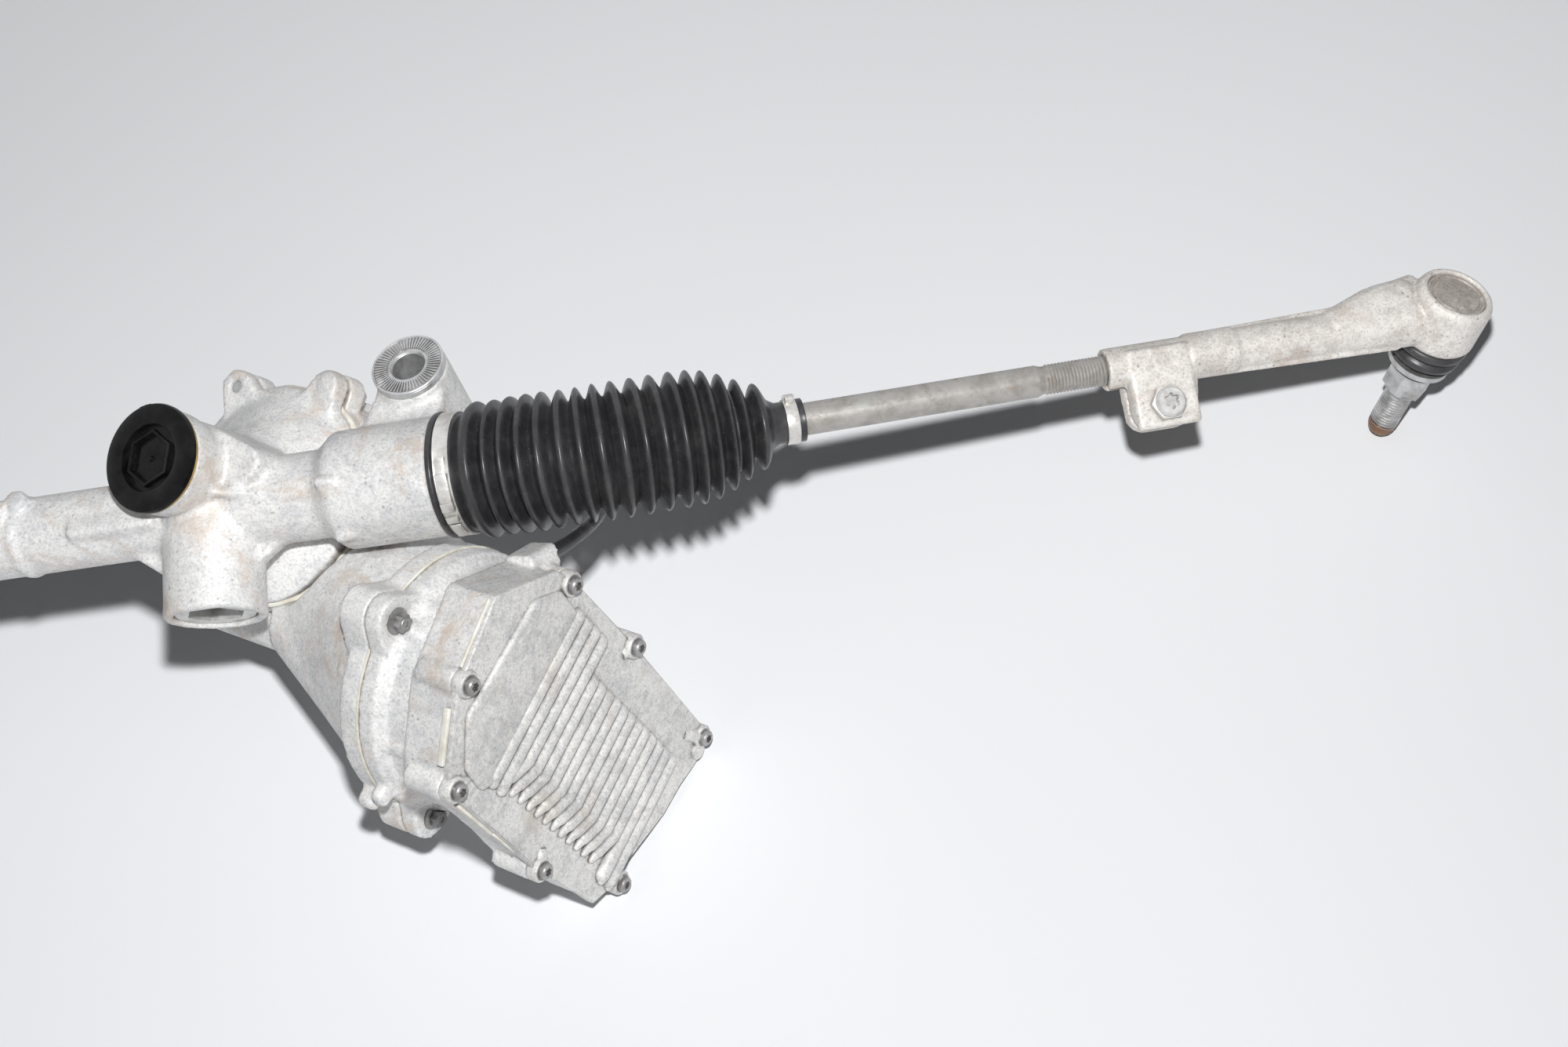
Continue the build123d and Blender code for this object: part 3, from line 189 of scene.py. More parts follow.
def rounded(
    bm: Mesh,
    verts: Iterable[Vert],
    offset: float,
    flat_only: bool = False,
    **settings: object,
) -> None:
    """Rounds the edges that meet at the vertices.

    Args:
        bm: Mesh that they are in.
        verts: The vertices.
        offset: Radius of the rounding.
        flat_only: Whether only edges that run level are rounded.
        **settings: What the bevel does otherwise.
    """
    edges = {edge for vert in verts for edge in vert.link_edges}
    if flat_only:
        edges = {edge for edge in edges if abs(edge.verts[0].co.z - edge.verts[1].co.z) < 0.1}
    given = {"segments": 2, "profile": 0.5, "material": -1, **settings}
    bmesh.ops.bevel(bm, geom=list(edges), offset=offset, affect="EDGES", **given)


def drum(
    bm: Mesh,
    low: float,
    high: float,
    radius: float,
    top: float | None = None,
    spot: tuple[float, float] = (0.0, 0.0),
    sides: int = 40,
    place: Matrix | None = None,
) -> list[Vert]:
    """Adds a closed round bar or cone along z.

    Args:
        bm: Mesh that it is added to.
        low: Level of its lower end.
        high: Level of its upper end.
        radius: Radius at the lower end.
        top: Radius at the upper end, the same as the lower one if left out.
        spot: Where its axis stands.
        sides: Number of flats round it.
        place: Matrix applied after it stands on its spot.

    Returns:
        Its vertices.
    """
    stand = (place or Matrix.Identity(4)) @ at(spot[0], spot[1], (low + high) / 2)
    made = bmesh.ops.create_cone(
        bm, cap_ends=True, segments=sides, radius1=radius, radius2=radius if top is None else top,
        depth=high - low, matrix=stand,
    )
    return made["verts"]


def block(
    bm: Mesh,
    size: Point,
    centre: Point,
    turn: float = 0.0,
    rounding: float = 0.0,
    place: Matrix | None = None,
) -> None:
    """Adds a closed block with rounded edges.

    Args:
        bm: Mesh that it is added to.
        size: Its three edge lengths.
        centre: Its middle.
        turn: Turn about z in degrees.
        rounding: Radius of its edges.
        place: Matrix applied after all of that.
    """
    stand = (place or Matrix.Identity(4)) @ at(*centre) @ spun(turn)
    made = bmesh.ops.create_cube(bm, size=1.0, matrix=stand @ Matrix.Diagonal((*size, 1.0)))
    if rounding:
        rounded(bm, made["verts"], rounding, clamp_overlap=True)


def bar_between(
    bm: Mesh,
    start: Point,
    end: Point,
    radius: float,
    tip: float | None = None,
) -> None:
    """Adds a round bar from one point to another.

    Args:
        bm: Mesh that it is added to.
        start: Middle of its first end.
        end: Middle of its last end.
        radius: Radius at the first end.
        tip: Radius at the last end, the same if left out.
    """
    run = Vector(end) - Vector(start)
    aim = Matrix.Translation(start) @ run.to_track_quat("Z", "Y").to_matrix().to_4x4()
    drum(bm, 0, run.length, radius, radius if tip is None else tip, sides=16, place=aim)


def traced(bm: Mesh, outline: Iterable[tuple[float, float]], closed: bool) -> list:
    """Draws an outline of (radius, level) points by extruding one vertex along it.

    Args:
        bm: Mesh that it is added to.
        outline: The points, in order.
        closed: Whether the last point joins the first.

    Returns:
        Its vertices and edges.
    """
    points = list(outline)
    tip = bm.verts.new((points[0][0], 0, points[0][1]))
    verts, edges = [tip], []
    for radius, level in points[1:]:
        made = bmesh.ops.extrude_vert_indiv(bm, verts=[tip])
        tip = made["verts"][0]
        tip.co = (radius, 0, level)
        verts.append(tip)
        edges.extend(made["edges"])
    if closed:
        edges.append(bm.edges.new((tip, verts[0])))
    return [*verts, *edges]


def lathe(
    bm: Mesh,
    outline: Iterable[tuple[float, float]],
    sides: int = 64,
    closed: bool = False,
    place: Matrix | None = None,
) -> list[Vert]:
    """Turns an outline of (radius, level) points round z.

    Args:
        bm: Mesh that it is added to.
        outline: The points; an open outline starts and ends on the axis.
        sides: Steps round the axis.
        closed: Whether the outline is a loop, which makes a ring.
        place: Matrix applied at the end.

    Returns:
        Its vertices.
    """
    known = set(bm.verts)
    geom = traced(bm, outline, closed)
    bmesh.ops.spin(bm, geom=geom, **AXIS, angle=TURN, steps=sides, use_merge=True)
    bmesh.ops.remove_doubles(bm, verts=newer(bm, known), dist=WELD)
    fresh = newer(bm, known)
    if place is not None:
        bmesh.ops.transform(bm, matrix=place, verts=fresh)
    return fresh


def star(
    bm: Mesh,
    outer: float,
    inner: float,
    low: float,
    high: float,
    place: Matrix,
    lobes: int = 6,
) -> None:
    """Adds a closed bar with a lobed outline, as on a star-shaped bolt head.

    Args:
        bm: Mesh that it is added to.
        outer: Radius over the lobes.
        inner: Radius between them.
        low: Lower level.
        high: Upper level.
        place: Matrix applied at the end.
        lobes: How many lobes it has.
    """
    verts = drum(bm, low, high, outer, sides=lobes * 6)
    for vert in verts:
        bearing = math.atan2(vert.co.y, vert.co.x)
        share = 0.5 + 0.5 * math.cos(lobes * bearing)
        reach = inner + (outer - inner) * share
        vert.co.x *= reach / outer
        vert.co.y *= reach / outer
    bmesh.ops.transform(bm, matrix=place, verts=verts)


def socket_head(
    bm: Mesh,
    radius: float,
    low: float,
    high: float,
    socket: float,
    depth: float,
    place: Matrix,
    lobes: int = 6,
    waist: float = 0.72,
) -> None:
    """Adds a round screw head with a lobed or hexagonal socket sunk in it.

    Args:
        bm: Mesh that it is added to.
        radius: Radius of the head.
        low: Level of its underside.
        high: Level of its top.
        socket: Radius over the socket's lobes.
        depth: How deep the socket is.
        place: Matrix applied at the end.
        lobes: Number of lobes.
        waist: Socket radius between lobes, as a share of the radius over them.
    """
    sides = lobes * 6
    made = bmesh.ops.create_circle(bm, cap_ends=True, segments=sides, radius=radius, matrix=at(0, 0, low))
    verts = list(made["verts"])
    face = verts[0].link_faces[0]

    def raised(source: Face, level: float, scale: float) -> Face:
        """Extrudes a face to a level and scales it about the axis."""
        top = bmesh.ops.extrude_face_region(bm, geom=[source])["geom"]
        cap = [item for item in top if isinstance(item, Face)][0]
        if source is not face:
            bmesh.ops.delete(bm, geom=[source], context="FACES_ONLY")
        for vert in cap.verts:
            vert.co.z = level
            vert.co.x *= scale
            vert.co.y *= scale
        verts.extend(cap.verts)
        return cap

    crown_share = 0.86
    side = raised(face, high - 0.18 * radius, 1.0)
    crown = raised(side, high, crown_share)
    mouth = raised(crown, high, socket / (crown_share * radius))
    for vert in mouth.verts:
        bearing = math.atan2(vert.co.y, vert.co.x)
        reach = waist + (1 - waist) * (0.5 + 0.5 * math.cos(lobes * bearing))
        vert.co.x *= reach
        vert.co.y *= reach
    raised(mouth, high - depth, 0.94)
    bmesh.ops.transform(bm, matrix=place, verts=verts)


def thread(bm: Mesh, low: float, high: float, root: float, crest: float, pitch: float) -> None:
    """Adds one helical thread ridge round z by spinning its section while it climbs.

    Args:
        bm: Mesh that it is added to.
        low: Level of its first end.
        high: Level of its last end.
        root: Radius at its foot, a little inside the bar.
        crest: Radius at its tip.
        pitch: Climb for each turn.
    """
    steps_each = 28
    turns = (high - low) / pitch
    foot = 0.42 * pitch
    known = set(bm.verts)
    geom = traced(bm, [(root, low - foot), (crest, low), (root, low + foot)], True)
    bmesh.ops.edgeloop_fill(bm, edges=edges_in(geom))
    last = bmesh.ops.spin(
        bm, geom=geom, **AXIS, dvec=(0, 0, pitch / steps_each), angle=TURN * turns,
        steps=int(turns * steps_each),
    )["geom_last"]
    bmesh.ops.edgeloop_fill(bm, edges=edges_in(last))
    bmesh.ops.remove_doubles(bm, verts=newer(bm, known), dist=WELD / 10)


# Shader parts


class Sheet:
    """A node tree with short calls for the nodes that the finishes are made of."""

    def __init__(self, tree: bpy.types.NodeTree) -> None:
        """Keeps the tree that nodes are placed in."""
        self.tree = tree

    def node(self, kind: str, **settings: object) -> bpy.types.Node:
        """Places a node and gives it its settings."""
        made = self.tree.nodes.new(kind)
        for name, value in settings.items():
            setattr(made, name, value)
        return made

    def feed(self, target: Socket, value: object) -> None:
        """Links a socket into another, or sets the plain value on it."""
        if isinstance(value, Socket):
            self.tree.links.new(value, target)
        elif isinstance(value, tuple) and len(value) == 3:
            target.default_value = (*value, 1.0) if target.type == "RGBA" else value
        else:
            target.default_value = value

    def noise(
        self,
        vector: object,
        scale: object,
        detail: float = 3.0,
        rough: float = 0.55,
        swirl: float = 0.0,
    ) -> Socket:
        """Noise read at the vector, from 0 to 1."""
        made = self.node("ShaderNodeTexNoise", noise_dimensions="3D")
        self.feed(made.inputs["Vector"], vector)
        self.feed(made.inputs["Scale"], scale)
        made.inputs["Detail"].default_value = detail
        made.inputs["Roughness"].default_value = rough
        made.inputs["Distortion"].default_value = swirl
        return made.outputs["Fac"]

    def cells(self, vector: object, scale: object) -> Socket:
        """Distance to the nearest of many scattered points."""
        made = self.node("ShaderNodeTexVoronoi", feature="F1")
        self.feed(made.inputs["Vector"], vector)
        self.feed(made.inputs["Scale"], scale)
        return made.outputs["Distance"]

    def span(
        self,
        value: object,
        low: object,
        high: object,
        floor: float = 0.0,
        roof: float = 1.0,
    ) -> Socket:
        """Maps low..high smoothly onto floor..roof."""
        made = self.node("ShaderNodeMapRange", interpolation_type="SMOOTHSTEP")
        names = ("Value", "From Min", "From Max", "To Min", "To Max")
        for name, item in zip(names, (value, low, high, floor, roof)):
            self.feed(made.inputs[name], item)
        return made.outputs["Result"]

    def sum(self, operation: str, first: object, second: object) -> Socket:
        """One maths step on two values."""
        made = self.node("ShaderNodeMath", operation=operation)
        self.feed(made.inputs[0], first)
        self.feed(made.inputs[1], second)
        return made.outputs[0]

    def times(self, first: object, second: object) -> Socket:
        """Product of two values."""
        return self.sum("MULTIPLY", first, second)

    def plus(self, first: object, second: object) -> Socket:
        """Sum of two values."""
        return self.sum("ADD", first, second)

    def minus(self, first: object, second: object) -> Socket:
        """First value less the second."""
        return self.sum("SUBTRACT", first, second)

    def paint(self, share: object, under: object, over: object, mode: str = "MIX") -> Socket:
        """Lays one colour over another by a share."""
        made = self.node("ShaderNodeMix", data_type="RGBA", blend_type=mode)
        self.feed(made.inputs["Factor"], share)
        for name, colour in (("A", under), ("B", over)):
            fits = [item for item in made.inputs if item.name == name and item.type == "RGBA"]
            self.feed(fits[0], colour)
        return [item for item in made.outputs if item.type == "RGBA"][0]


SOCKETS = {"colour": "NodeSocketColor", "number": "NodeSocketFloat", "vector": "NodeSocketVector"}


def shader_group(
    name: str,
    inputs: dict[str, str],
    outputs: dict[str, str],
    draw: Callable[[Sheet, Sockets], Sockets],
) -> bpy.types.NodeTree:
    """Builds a node group with named sockets once, and returns it again when it is asked for again.

    Args:
        name: Name of the group.
        inputs: Names and kinds of its inputs.
        outputs: Names and kinds of its outputs.
        draw: Function that places its nodes and gives back the outputs' sockets.

    Returns:
        The group's tree.
    """
    if name in bpy.data.node_groups:
        return bpy.data.node_groups[name]
    tree = bpy.data.node_groups.new(name, "ShaderNodeTree")
    for way, labels in (("INPUT", inputs), ("OUTPUT", outputs)):
        for label, kind in labels.items():
            tree.interface.new_socket(label, in_out=way, socket_type=SOCKETS[kind])
    sheet = Sheet(tree)
    entry = sheet.node("NodeGroupInput")
    leave = sheet.node("NodeGroupOutput")
    made = draw(sheet, {label: entry.outputs[label] for label in inputs})
    for label, socket in made.items():
        tree.links.new(socket, leave.inputs[label])
    return tree


def weathered_skin() -> bpy.types.NodeTree:
    """Group for cast and forged skins: pale and dull patches, grains, salt bloom and road stain."""

    def draw(sheet: Sheet, given: Sockets) -> Sockets:
        """Places the nodes of the skin."""
        spot, patch, grain = given["Vector"], given["Patch scale"], given["Grain scale"]
        broad = sheet.noise(spot, patch, 8, 0.68, 0.6)
        mottle = sheet.noise(spot, sheet.times(patch, 5.3), 5, 0.7)
        fine = sheet.noise(spot, grain, 2, 0.6)
        both = sheet.plus(sheet.times(broad, 0.55), sheet.times(mottle, 0.45))
        colour = sheet.paint(sheet.span(both, 0.42, 0.62), given["Pale"], given["Shade"])
        bloom = sheet.span(sheet.noise(spot, sheet.times(patch, 2.2), 7, 0.72, 0.4), 0.55, 0.7)
        colour = sheet.paint(sheet.times(bloom, 0.55), colour, (0.93, 0.93, 0.92))
        speck = sheet.span(fine, 0.32, 0.58, 0.78, 1.0)
        colour = sheet.paint(1.0, colour, sheet.paint(speck, (0, 0, 0), (1, 1, 1)), "MULTIPLY")
        holes = sheet.span(sheet.cells(spot, sheet.times(grain, 0.34)), 0.10, 0.26)
        spared = sheet.span(sheet.noise(spot, sheet.times(patch, 3.1), 4, 0.7), 0.44, 0.60)
        pits = sheet.sum("MAXIMUM", holes, sheet.minus(1.0, spared))
        colour = sheet.paint(sheet.times(sheet.minus(1.0, pits), 0.6), colour, given["Pit"])
        reach = sheet.noise(spot, sheet.times(patch, 0.45), 9, 0.74, 1.1)
        soak = sheet.times(sheet.span(reach, 0.5, 0.68), given["Stain share"])
        colour = sheet.paint(soak, colour, given["Stain"])
        rough = sheet.span(broad, 0.3, 0.7, 0.42, 0.66)
        height = sheet.plus(sheet.times(fine, 0.5), sheet.times(mottle, 0.5))
        height = sheet.minus(height, sheet.times(sheet.minus(1.0, pits), 0.3))
        return {"Colour": colour, "Roughness": rough, "Height": height}

    return shader_group(
        "weathered_skin",
        {
            "Vector": "vector",
            "Pale": "colour",
            "Shade": "colour",
            "Pit": "colour",
            "Stain": "colour",
            "Stain share": "number",
            "Patch scale": "number",
            "Grain scale": "number",
        },
        {"Colour": "colour", "Roughness": "number", "Height": "number"},
        draw,
    )


def corner_grime_and_shade() -> bpy.types.NodeTree:
    """Group that darkens a colour in inner corners found by ambient occlusion: dirt and painted shade."""

    def draw(sheet: Sheet, given: Sockets) -> Sockets:
        """Places the nodes of the dirt and painted shade."""
        # Ambient occlusion masks the darkening, so it paints shade into corners and grooves; the ragged
        # noise breaks it up like dirt.
        open_sky = sheet.node("ShaderNodeAmbientOcclusion", samples=6, only_local=False)
        sheet.feed(open_sky.inputs["Distance"], given["Reach"])
        ragged = sheet.noise(given["Vector"], 260.0, 4, 0.7)
        share = sheet.minus(1.0, open_sky.outputs["AO"])
        share = sheet.span(share, 0.12, 0.68)
        share = sheet.times(share, sheet.span(ragged, 0.2, 0.65, 0.35, 1.0))
        share = sheet.times(share, given["Amount"])
        return {"Colour": sheet.paint(share, given["Colour"], given["Grime"])}

    return shader_group(
        "corner_grime_and_shade",
        {"Vector": "vector", "Colour": "colour", "Grime": "colour", "Reach": "number", "Amount": "number"},
        {"Colour": "colour"}, draw,
    )


def settled_dust() -> bpy.types.NodeTree:
    """Group that lays film and single motes of dust over a colour."""

    def draw(sheet: Sheet, given: Sockets) -> Sockets:
        """Places the nodes of the dust."""
        film = sheet.span(sheet.noise(given["Vector"], 55.0, 6, 0.7, 0.5), 0.42, 0.72)
        mote = sheet.span(sheet.cells(given["Vector"], 620.0), 0.12, 0.2, 1.0, 0.0)
        chosen = sheet.span(sheet.noise(given["Vector"], 170.0, 2, 0.5), 0.56, 0.6)
        share = sheet.plus(sheet.times(film, 0.35), sheet.times(mote, chosen))
        share = sheet.times(share, given["Amount"])
        colour = sheet.paint(share, given["Colour"], given["Dust"])
        return {"Colour": colour, "Share": share}

    return shader_group(
        "settled_dust", {"Vector": "vector", "Colour": "colour", "Dust": "colour", "Amount": "number"},
        {"Colour": "colour", "Share": "number"}, draw,
    )


def worked_metal() -> bpy.types.NodeTree:
    """Group for turned, ground and plated metal: tool lines, dull spots and rust."""

    def draw(sheet: Sheet, given: Sockets) -> Sockets:
        """Places the nodes of the metal."""
        spot = given["Vector"]
        broad = sheet.noise(spot, 90.0, 6, 0.65, 0.4)
        fine = sheet.noise(spot, 1500.0, 2, 0.5)
        colour = sheet.paint(sheet.span(broad, 0.38, 0.64), given["Tone"], given["Dull"])
        colour = sheet.paint(sheet.times(sheet.span(fine, 0.35, 0.7), 0.22), colour, given["Dull"])
        soak = sheet.span(sheet.noise(spot, 130.0, 8, 0.75, 0.8), 0.54, 0.68)
        rust = sheet.times(soak, given["Rust share"])
        colour = sheet.paint(rust, colour, given["Rust"])
        rough = sheet.span(sheet.noise(spot, 300.0, 4, 0.6), 0.3, 0.7, 0.28, 0.5)
        rough = sheet.plus(rough, sheet.times(rust, 0.3))
        return {"Colour": colour, "Roughness": rough, "Rust": rust, "Height": fine}

    return shader_group(
        "worked_metal",
        {"Vector": "vector", "Tone": "colour", "Dull": "colour", "Rust": "colour", "Rust share": "number"},
        {"Colour": "colour", "Roughness": "number", "Rust": "number", "Height": "number"}, draw,
    )


@dataclass(frozen=True)
class Finish:
    """A surface finish of the rack. Subclasses say how its material is drawn."""

    name: str

    def material(self) -> bpy.types.Material:
        """The finish's material, made the first time that it is asked for."""
        if self.name in bpy.data.materials:
            return bpy.data.materials[self.name]
        made = bpy.data.materials.new(self.name)
        made.use_nodes = True
        sheet = Sheet(made.node_tree)
        shader = made.node_tree.nodes["Principled BSDF"]
        where = sheet.node("ShaderNodeTexCoord").outputs["Object"]
        self.draw(sheet, shader, where)
        return made

    def draw(self, sheet: Sheet, shader: bpy.types.Node, where: Socket) -> None:
        """Links the finish's nodes to the shader."""
        raise NotImplementedError

    @staticmethod
    def bump(sheet: Sheet, shader: bpy.types.Node, height: Socket, depth: float) -> None:
        """Gives the surface relief of this depth in metres."""
        relief = sheet.node("ShaderNodeBump")
        relief.inputs["Strength"].default_value = 1.0
        relief.inputs["Distance"].default_value = depth
        sheet.feed(relief.inputs["Height"], height)
        sheet.feed(shader.inputs["Normal"], relief.outputs["Normal"])

    @staticmethod
    def use(sheet: Sheet, tree: bpy.types.NodeTree, **given: object) -> bpy.types.Node:
        """Places a shader group with its values; underscores in names stand for spaces."""
        made = sheet.node("ShaderNodeGroup", node_tree=tree)
        for label, value in given.items():
            sheet.feed(made.inputs[label.replace("_", " ")], value)
        return made


@dataclass(frozen=True)
class SkinFinish(Finish):
    """Cast or forged aluminium with its weathered skin."""

    pale: Colour = (0.90, 0.895, 0.88)
    shade: Colour = (0.71, 0.715, 0.725)
    pit: Colour = (0.33, 0.32, 0.31)
    stain: Colour = (0.60, 0.48, 0.38)
    stain_share: float = 0.7
    patch: float = 42.0
    grain: float = 760.0
    # Amount, tone and reach of the corner darkening, which is dirt and painted shade.
    grime: float = 0.85
    grime_and_shade_tone: Colour = (0.19, 0.16, 0.13)
    reach: float = 0.009
    metallic: float = 0.10
    relief: float = 0.00022

    def draw(self, sheet: Sheet, shader: bpy.types.Node, where: Socket) -> None:
        """Skin, then dirt and painted shade in its corners."""
        skin = self.use(
            sheet,
            weathered_skin(),
            Vector=where,
            Pale=self.pale,
            Shade=self.shade,
            Pit=self.pit,
            Stain=self.stain,
            Stain_share=self.stain_share,
            Patch_scale=self.patch,
            Grain_scale=self.grain,
        )
        # Corner darkening by ambient occlusion: dirt and painted shade.
        grime = self.use(
            sheet,
            corner_grime_and_shade(),
            Vector=where,
            Colour=skin.outputs["Colour"],
            Grime=self.grime_and_shade_tone,
            Reach=self.reach,
            Amount=self.grime,
        )
        sheet.feed(shader.inputs["Base Color"], grime.outputs["Colour"])
        sheet.feed(shader.inputs["Roughness"], skin.outputs["Roughness"])
        shader.inputs["Metallic"].default_value = self.metallic
        self.bump(sheet, shader, skin.outputs["Height"], self.relief)


@dataclass(frozen=True)
class MetalFinish(Finish):
    """Turned, ground or plated metal."""

    tone: Colour = (0.62, 0.62, 0.62)
    dull: Colour = (0.42, 0.42, 0.42)
    rust: Colour = (0.24, 0.13, 0.07)
    rust_share: float = 0.2
    metallic: float = 0.85
    # Amount of the corner darkening, which is dirt and painted shade.
    grime: float = 0.5
    relief: float = 0.00005

    def draw(self, sheet: Sheet, shader: bpy.types.Node, where: Socket) -> None:
        """Metal with its rust, then dirt and painted shade in its corners."""
        metal = self.use(
            sheet,
            worked_metal(),
            Vector=where,
            Tone=self.tone,
            Dull=self.dull,
            Rust=self.rust,
            Rust_share=self.rust_share,
        )
        # Corner darkening by ambient occlusion: dirt and painted shade.
        grime = self.use(
            sheet,
            corner_grime_and_shade(),
            Vector=where,
            Colour=metal.outputs["Colour"],
            Grime=(0.10, 0.08, 0.065),
            Reach=0.004,
            Amount=self.grime,
        )
        sheet.feed(shader.inputs["Base Color"], grime.outputs["Colour"])
        sheet.feed(shader.inputs["Roughness"], metal.outputs["Roughness"])
        keep = sheet.minus(self.metallic, sheet.times(metal.outputs["Rust"], self.metallic))
        sheet.feed(shader.inputs["Metallic"], keep)
        self.bump(sheet, shader, metal.outputs["Height"], self.relief)


@dataclass(frozen=True)
class PolymerFinish(Finish):
    """Rubber, moulded plastic or cured sealant."""

    tone: Colour = (0.02, 0.02, 0.021)
    dust: Colour = (0.42, 0.38, 0.32)
    dust_share: float = 0.35
    low_gloss: float = 0.34
    high_gloss: float = 0.5
    grain: float = 900.0
    relief: float = 0.00003
    specular: float = 0.3

    def draw(self, sheet: Sheet, shader: bpy.types.Node, where: Socket) -> None:
        """Moulded surface under settled dust."""
        shader.inputs["Specular IOR Level"].default_value = self.specular
        worn = sheet.noise(where, 120.0, 5, 0.65, 0.3)
        lifted = tuple(min(1.0, part * 1.45 + 0.006) for part in self.tone)
        colour = sheet.paint(sheet.span(worn, 0.35, 0.7), self.tone, lifted)
        dust = self.use(
            sheet,
            settled_dust(),
            Vector=where,
            Colour=colour,
            Dust=self.dust,
            Amount=self.dust_share,
        )
        sheet.feed(shader.inputs["Base Color"], dust.outputs["Colour"])
        rough = sheet.span(sheet.noise(where, 210.0, 4, 0.6), 0.3, 0.7, self.low_gloss, self.high_gloss)
        rough = sheet.plus(rough, sheet.times(dust.outputs["Share"], 0.4))
        sheet.feed(shader.inputs["Roughness"], rough)
        self.bump(sheet, shader, sheet.noise(where, self.grain, 3, 0.6), self.relief)


CAST = SkinFinish("cast_skin")
# The cover's corner darkening is near black at full amount: painted shade in the grooves between its ribs,
# with some dirt.
COVER_CAST = SkinFinish(
    "cover_skin", pale=(0.80, 0.79, 0.765), shade=(0.58, 0.58, 0.58), stain=(0.50, 0.43, 0.35),
    stain_share=0.45, patch=60.0, grain=850.0, relief=0.0003, reach=0.004, grime=1.0,
    grime_and_shade_tone=(0.05, 0.045, 0.04),
)
FORGED = SkinFinish(
    "forged_skin", pale=(0.90, 0.865, 0.82), shade=(0.68, 0.635, 0.59), pit=(0.26, 0.19, 0.15),
    stain=(0.50, 0.38, 0.30), stain_share=0.55, patch=30.0, grain=800.0, metallic=0.15, relief=0.00014,
)
CAP_DISC = SkinFinish(
    "disc_skin", pale=(0.52, 0.475, 0.43), shade=(0.40, 0.365, 0.335), pit=(0.16, 0.08, 0.06),
    stain=(0.33, 0.25, 0.2), stain_share=0.6, patch=60.0, grain=700.0, metallic=0.3, relief=0.00008,
)
MACHINED = MetalFinish(
    "machined_face", tone=(0.72, 0.72, 0.71), dull=(0.50, 0.50, 0.49), rust=(0.30, 0.24, 0.18),
    metallic=0.6,
)
ZINC = MetalFinish(
    "zinc_plate", tone=(0.62, 0.625, 0.63), dull=(0.40, 0.40, 0.40), rust_share=0.3, metallic=0.65,
)
WHITE_ZINC = MetalFinish(
    "white_zinc", tone=(0.76, 0.755, 0.74), dull=(0.55, 0.54, 0.52), rust_share=0.25, metallic=0.4,
)
DARK_THREAD = MetalFinish(
    "dark_thread", tone=(0.55, 0.55, 0.55), dull=(0.33, 0.325, 0.32), rust_share=0.12, metallic=0.95,
)
# Stronger corner darkening in the sockets and under the heads: dirt and painted shade.
SCREW_STEEL = MetalFinish(
    "screw_steel", tone=(0.40, 0.40, 0.40), dull=(0.26, 0.255, 0.25), rust_share=0.2, metallic=0.6,
    grime=0.8,
)
DULL_STEEL = MetalFinish(
    "rod_steel", tone=(0.46, 0.445, 0.42), dull=(0.34, 0.32, 0.295), rust_share=0.45, metallic=0.35,
)
GROUND = MetalFinish(
    "ground_face", tone=(0.62, 0.62, 0.62), dull=(0.5, 0.5, 0.5), rust_share=0.05, metallic=0.95,
)
STAINLESS = MetalFinish(
    "stainless_band", tone=(0.76, 0.75, 0.72), dull=(0.55, 0.53, 0.50), rust_share=0.12, metallic=0.7,
)
SINTER = MetalFinish("sinter_face", tone=(0.34, 0.34, 0.35), dull=(0.22, 0.22, 0.22), metallic=0.7)
MOTOR_STEEL = MetalFinish("motor_face", tone=(0.45, 0.46, 0.48), dull=(0.3, 0.3, 0.31), metallic=0.8)
BRASS = MetalFinish("yellow_brass", tone=(0.60, 0.42, 0.16), dull=(0.42, 0.29, 0.12), metallic=0.8)
RUBBER = PolymerFinish(
    "worn_rubber", tone=(0.024, 0.024, 0.026), dust=(0.34, 0.335, 0.33), dust_share=0.30,
    low_gloss=0.26, high_gloss=0.38, specular=0.45,
)
CAP_PLASTIC = PolymerFinish(
    "cap_plastic", tone=(0.004, 0.004, 0.0045), dust=(0.2, 0.17, 0.13), dust_share=0.10, low_gloss=0.14,
    high_gloss=0.26, specular=0.12,
)
WHITE_PLASTIC = PolymerFinish("plug_plastic", tone=(0.66, 0.63, 0.56), dust_share=0.2)
SEALANT = PolymerFinish(
    "pale_sealant", tone=(0.78, 0.74, 0.64), dust=(0.42, 0.33, 0.22), dust_share=0.6, low_gloss=0.5,
    high_gloss=0.65,
)
BOARD = PolymerFinish("board_lacquer", tone=(0.03, 0.13, 0.06), dust_share=0.1)
RUSTY_TIP = MetalFinish(
    "rusty_tip", tone=(0.30, 0.16, 0.08), dull=(0.17, 0.09, 0.05), rust_share=0.8, metallic=0.3,
)

SLOT_FINISHES: dict[str, Finish] = {
    "cast_aluminium": CAST,
    "machined_aluminium": MACHINED,
    "forged_aluminium": FORGED,
    "sealant": SEALANT,
    "brass_seal": BRASS,
    "zinc_steel": ZINC,
    "circuit_board": BOARD,
    "black_plastic": CAP_PLASTIC,
    "white_plastic": WHITE_PLASTIC,
    "sinter_steel": SINTER,
    "spring_steel": GROUND,
    "bearing_steel": GROUND,
    "motor_steel": MOTOR_STEEL,
    "ground_steel": GROUND,
    "dull_steel": DULL_STEEL,
    "stainless": STAINLESS,
    "black_rubber": RUBBER,
}


# Pieces


def mesh_of(bm: Mesh, name: str) -> bpy.types.Mesh:
    """Stores a drawn mesh under a name and frees it."""
    mesh = bpy.data.meshes.new(name)
    bm.to_mesh(mesh)
    bm.free()
    return mesh


def linked(name: str, data: bpy.types.ID) -> bpy.types.Object:
    """Makes an object of this data and puts it in the scene."""
    made = bpy.data.objects.new(name, data)
    bpy.context.collection.objects.link(made)
    return made


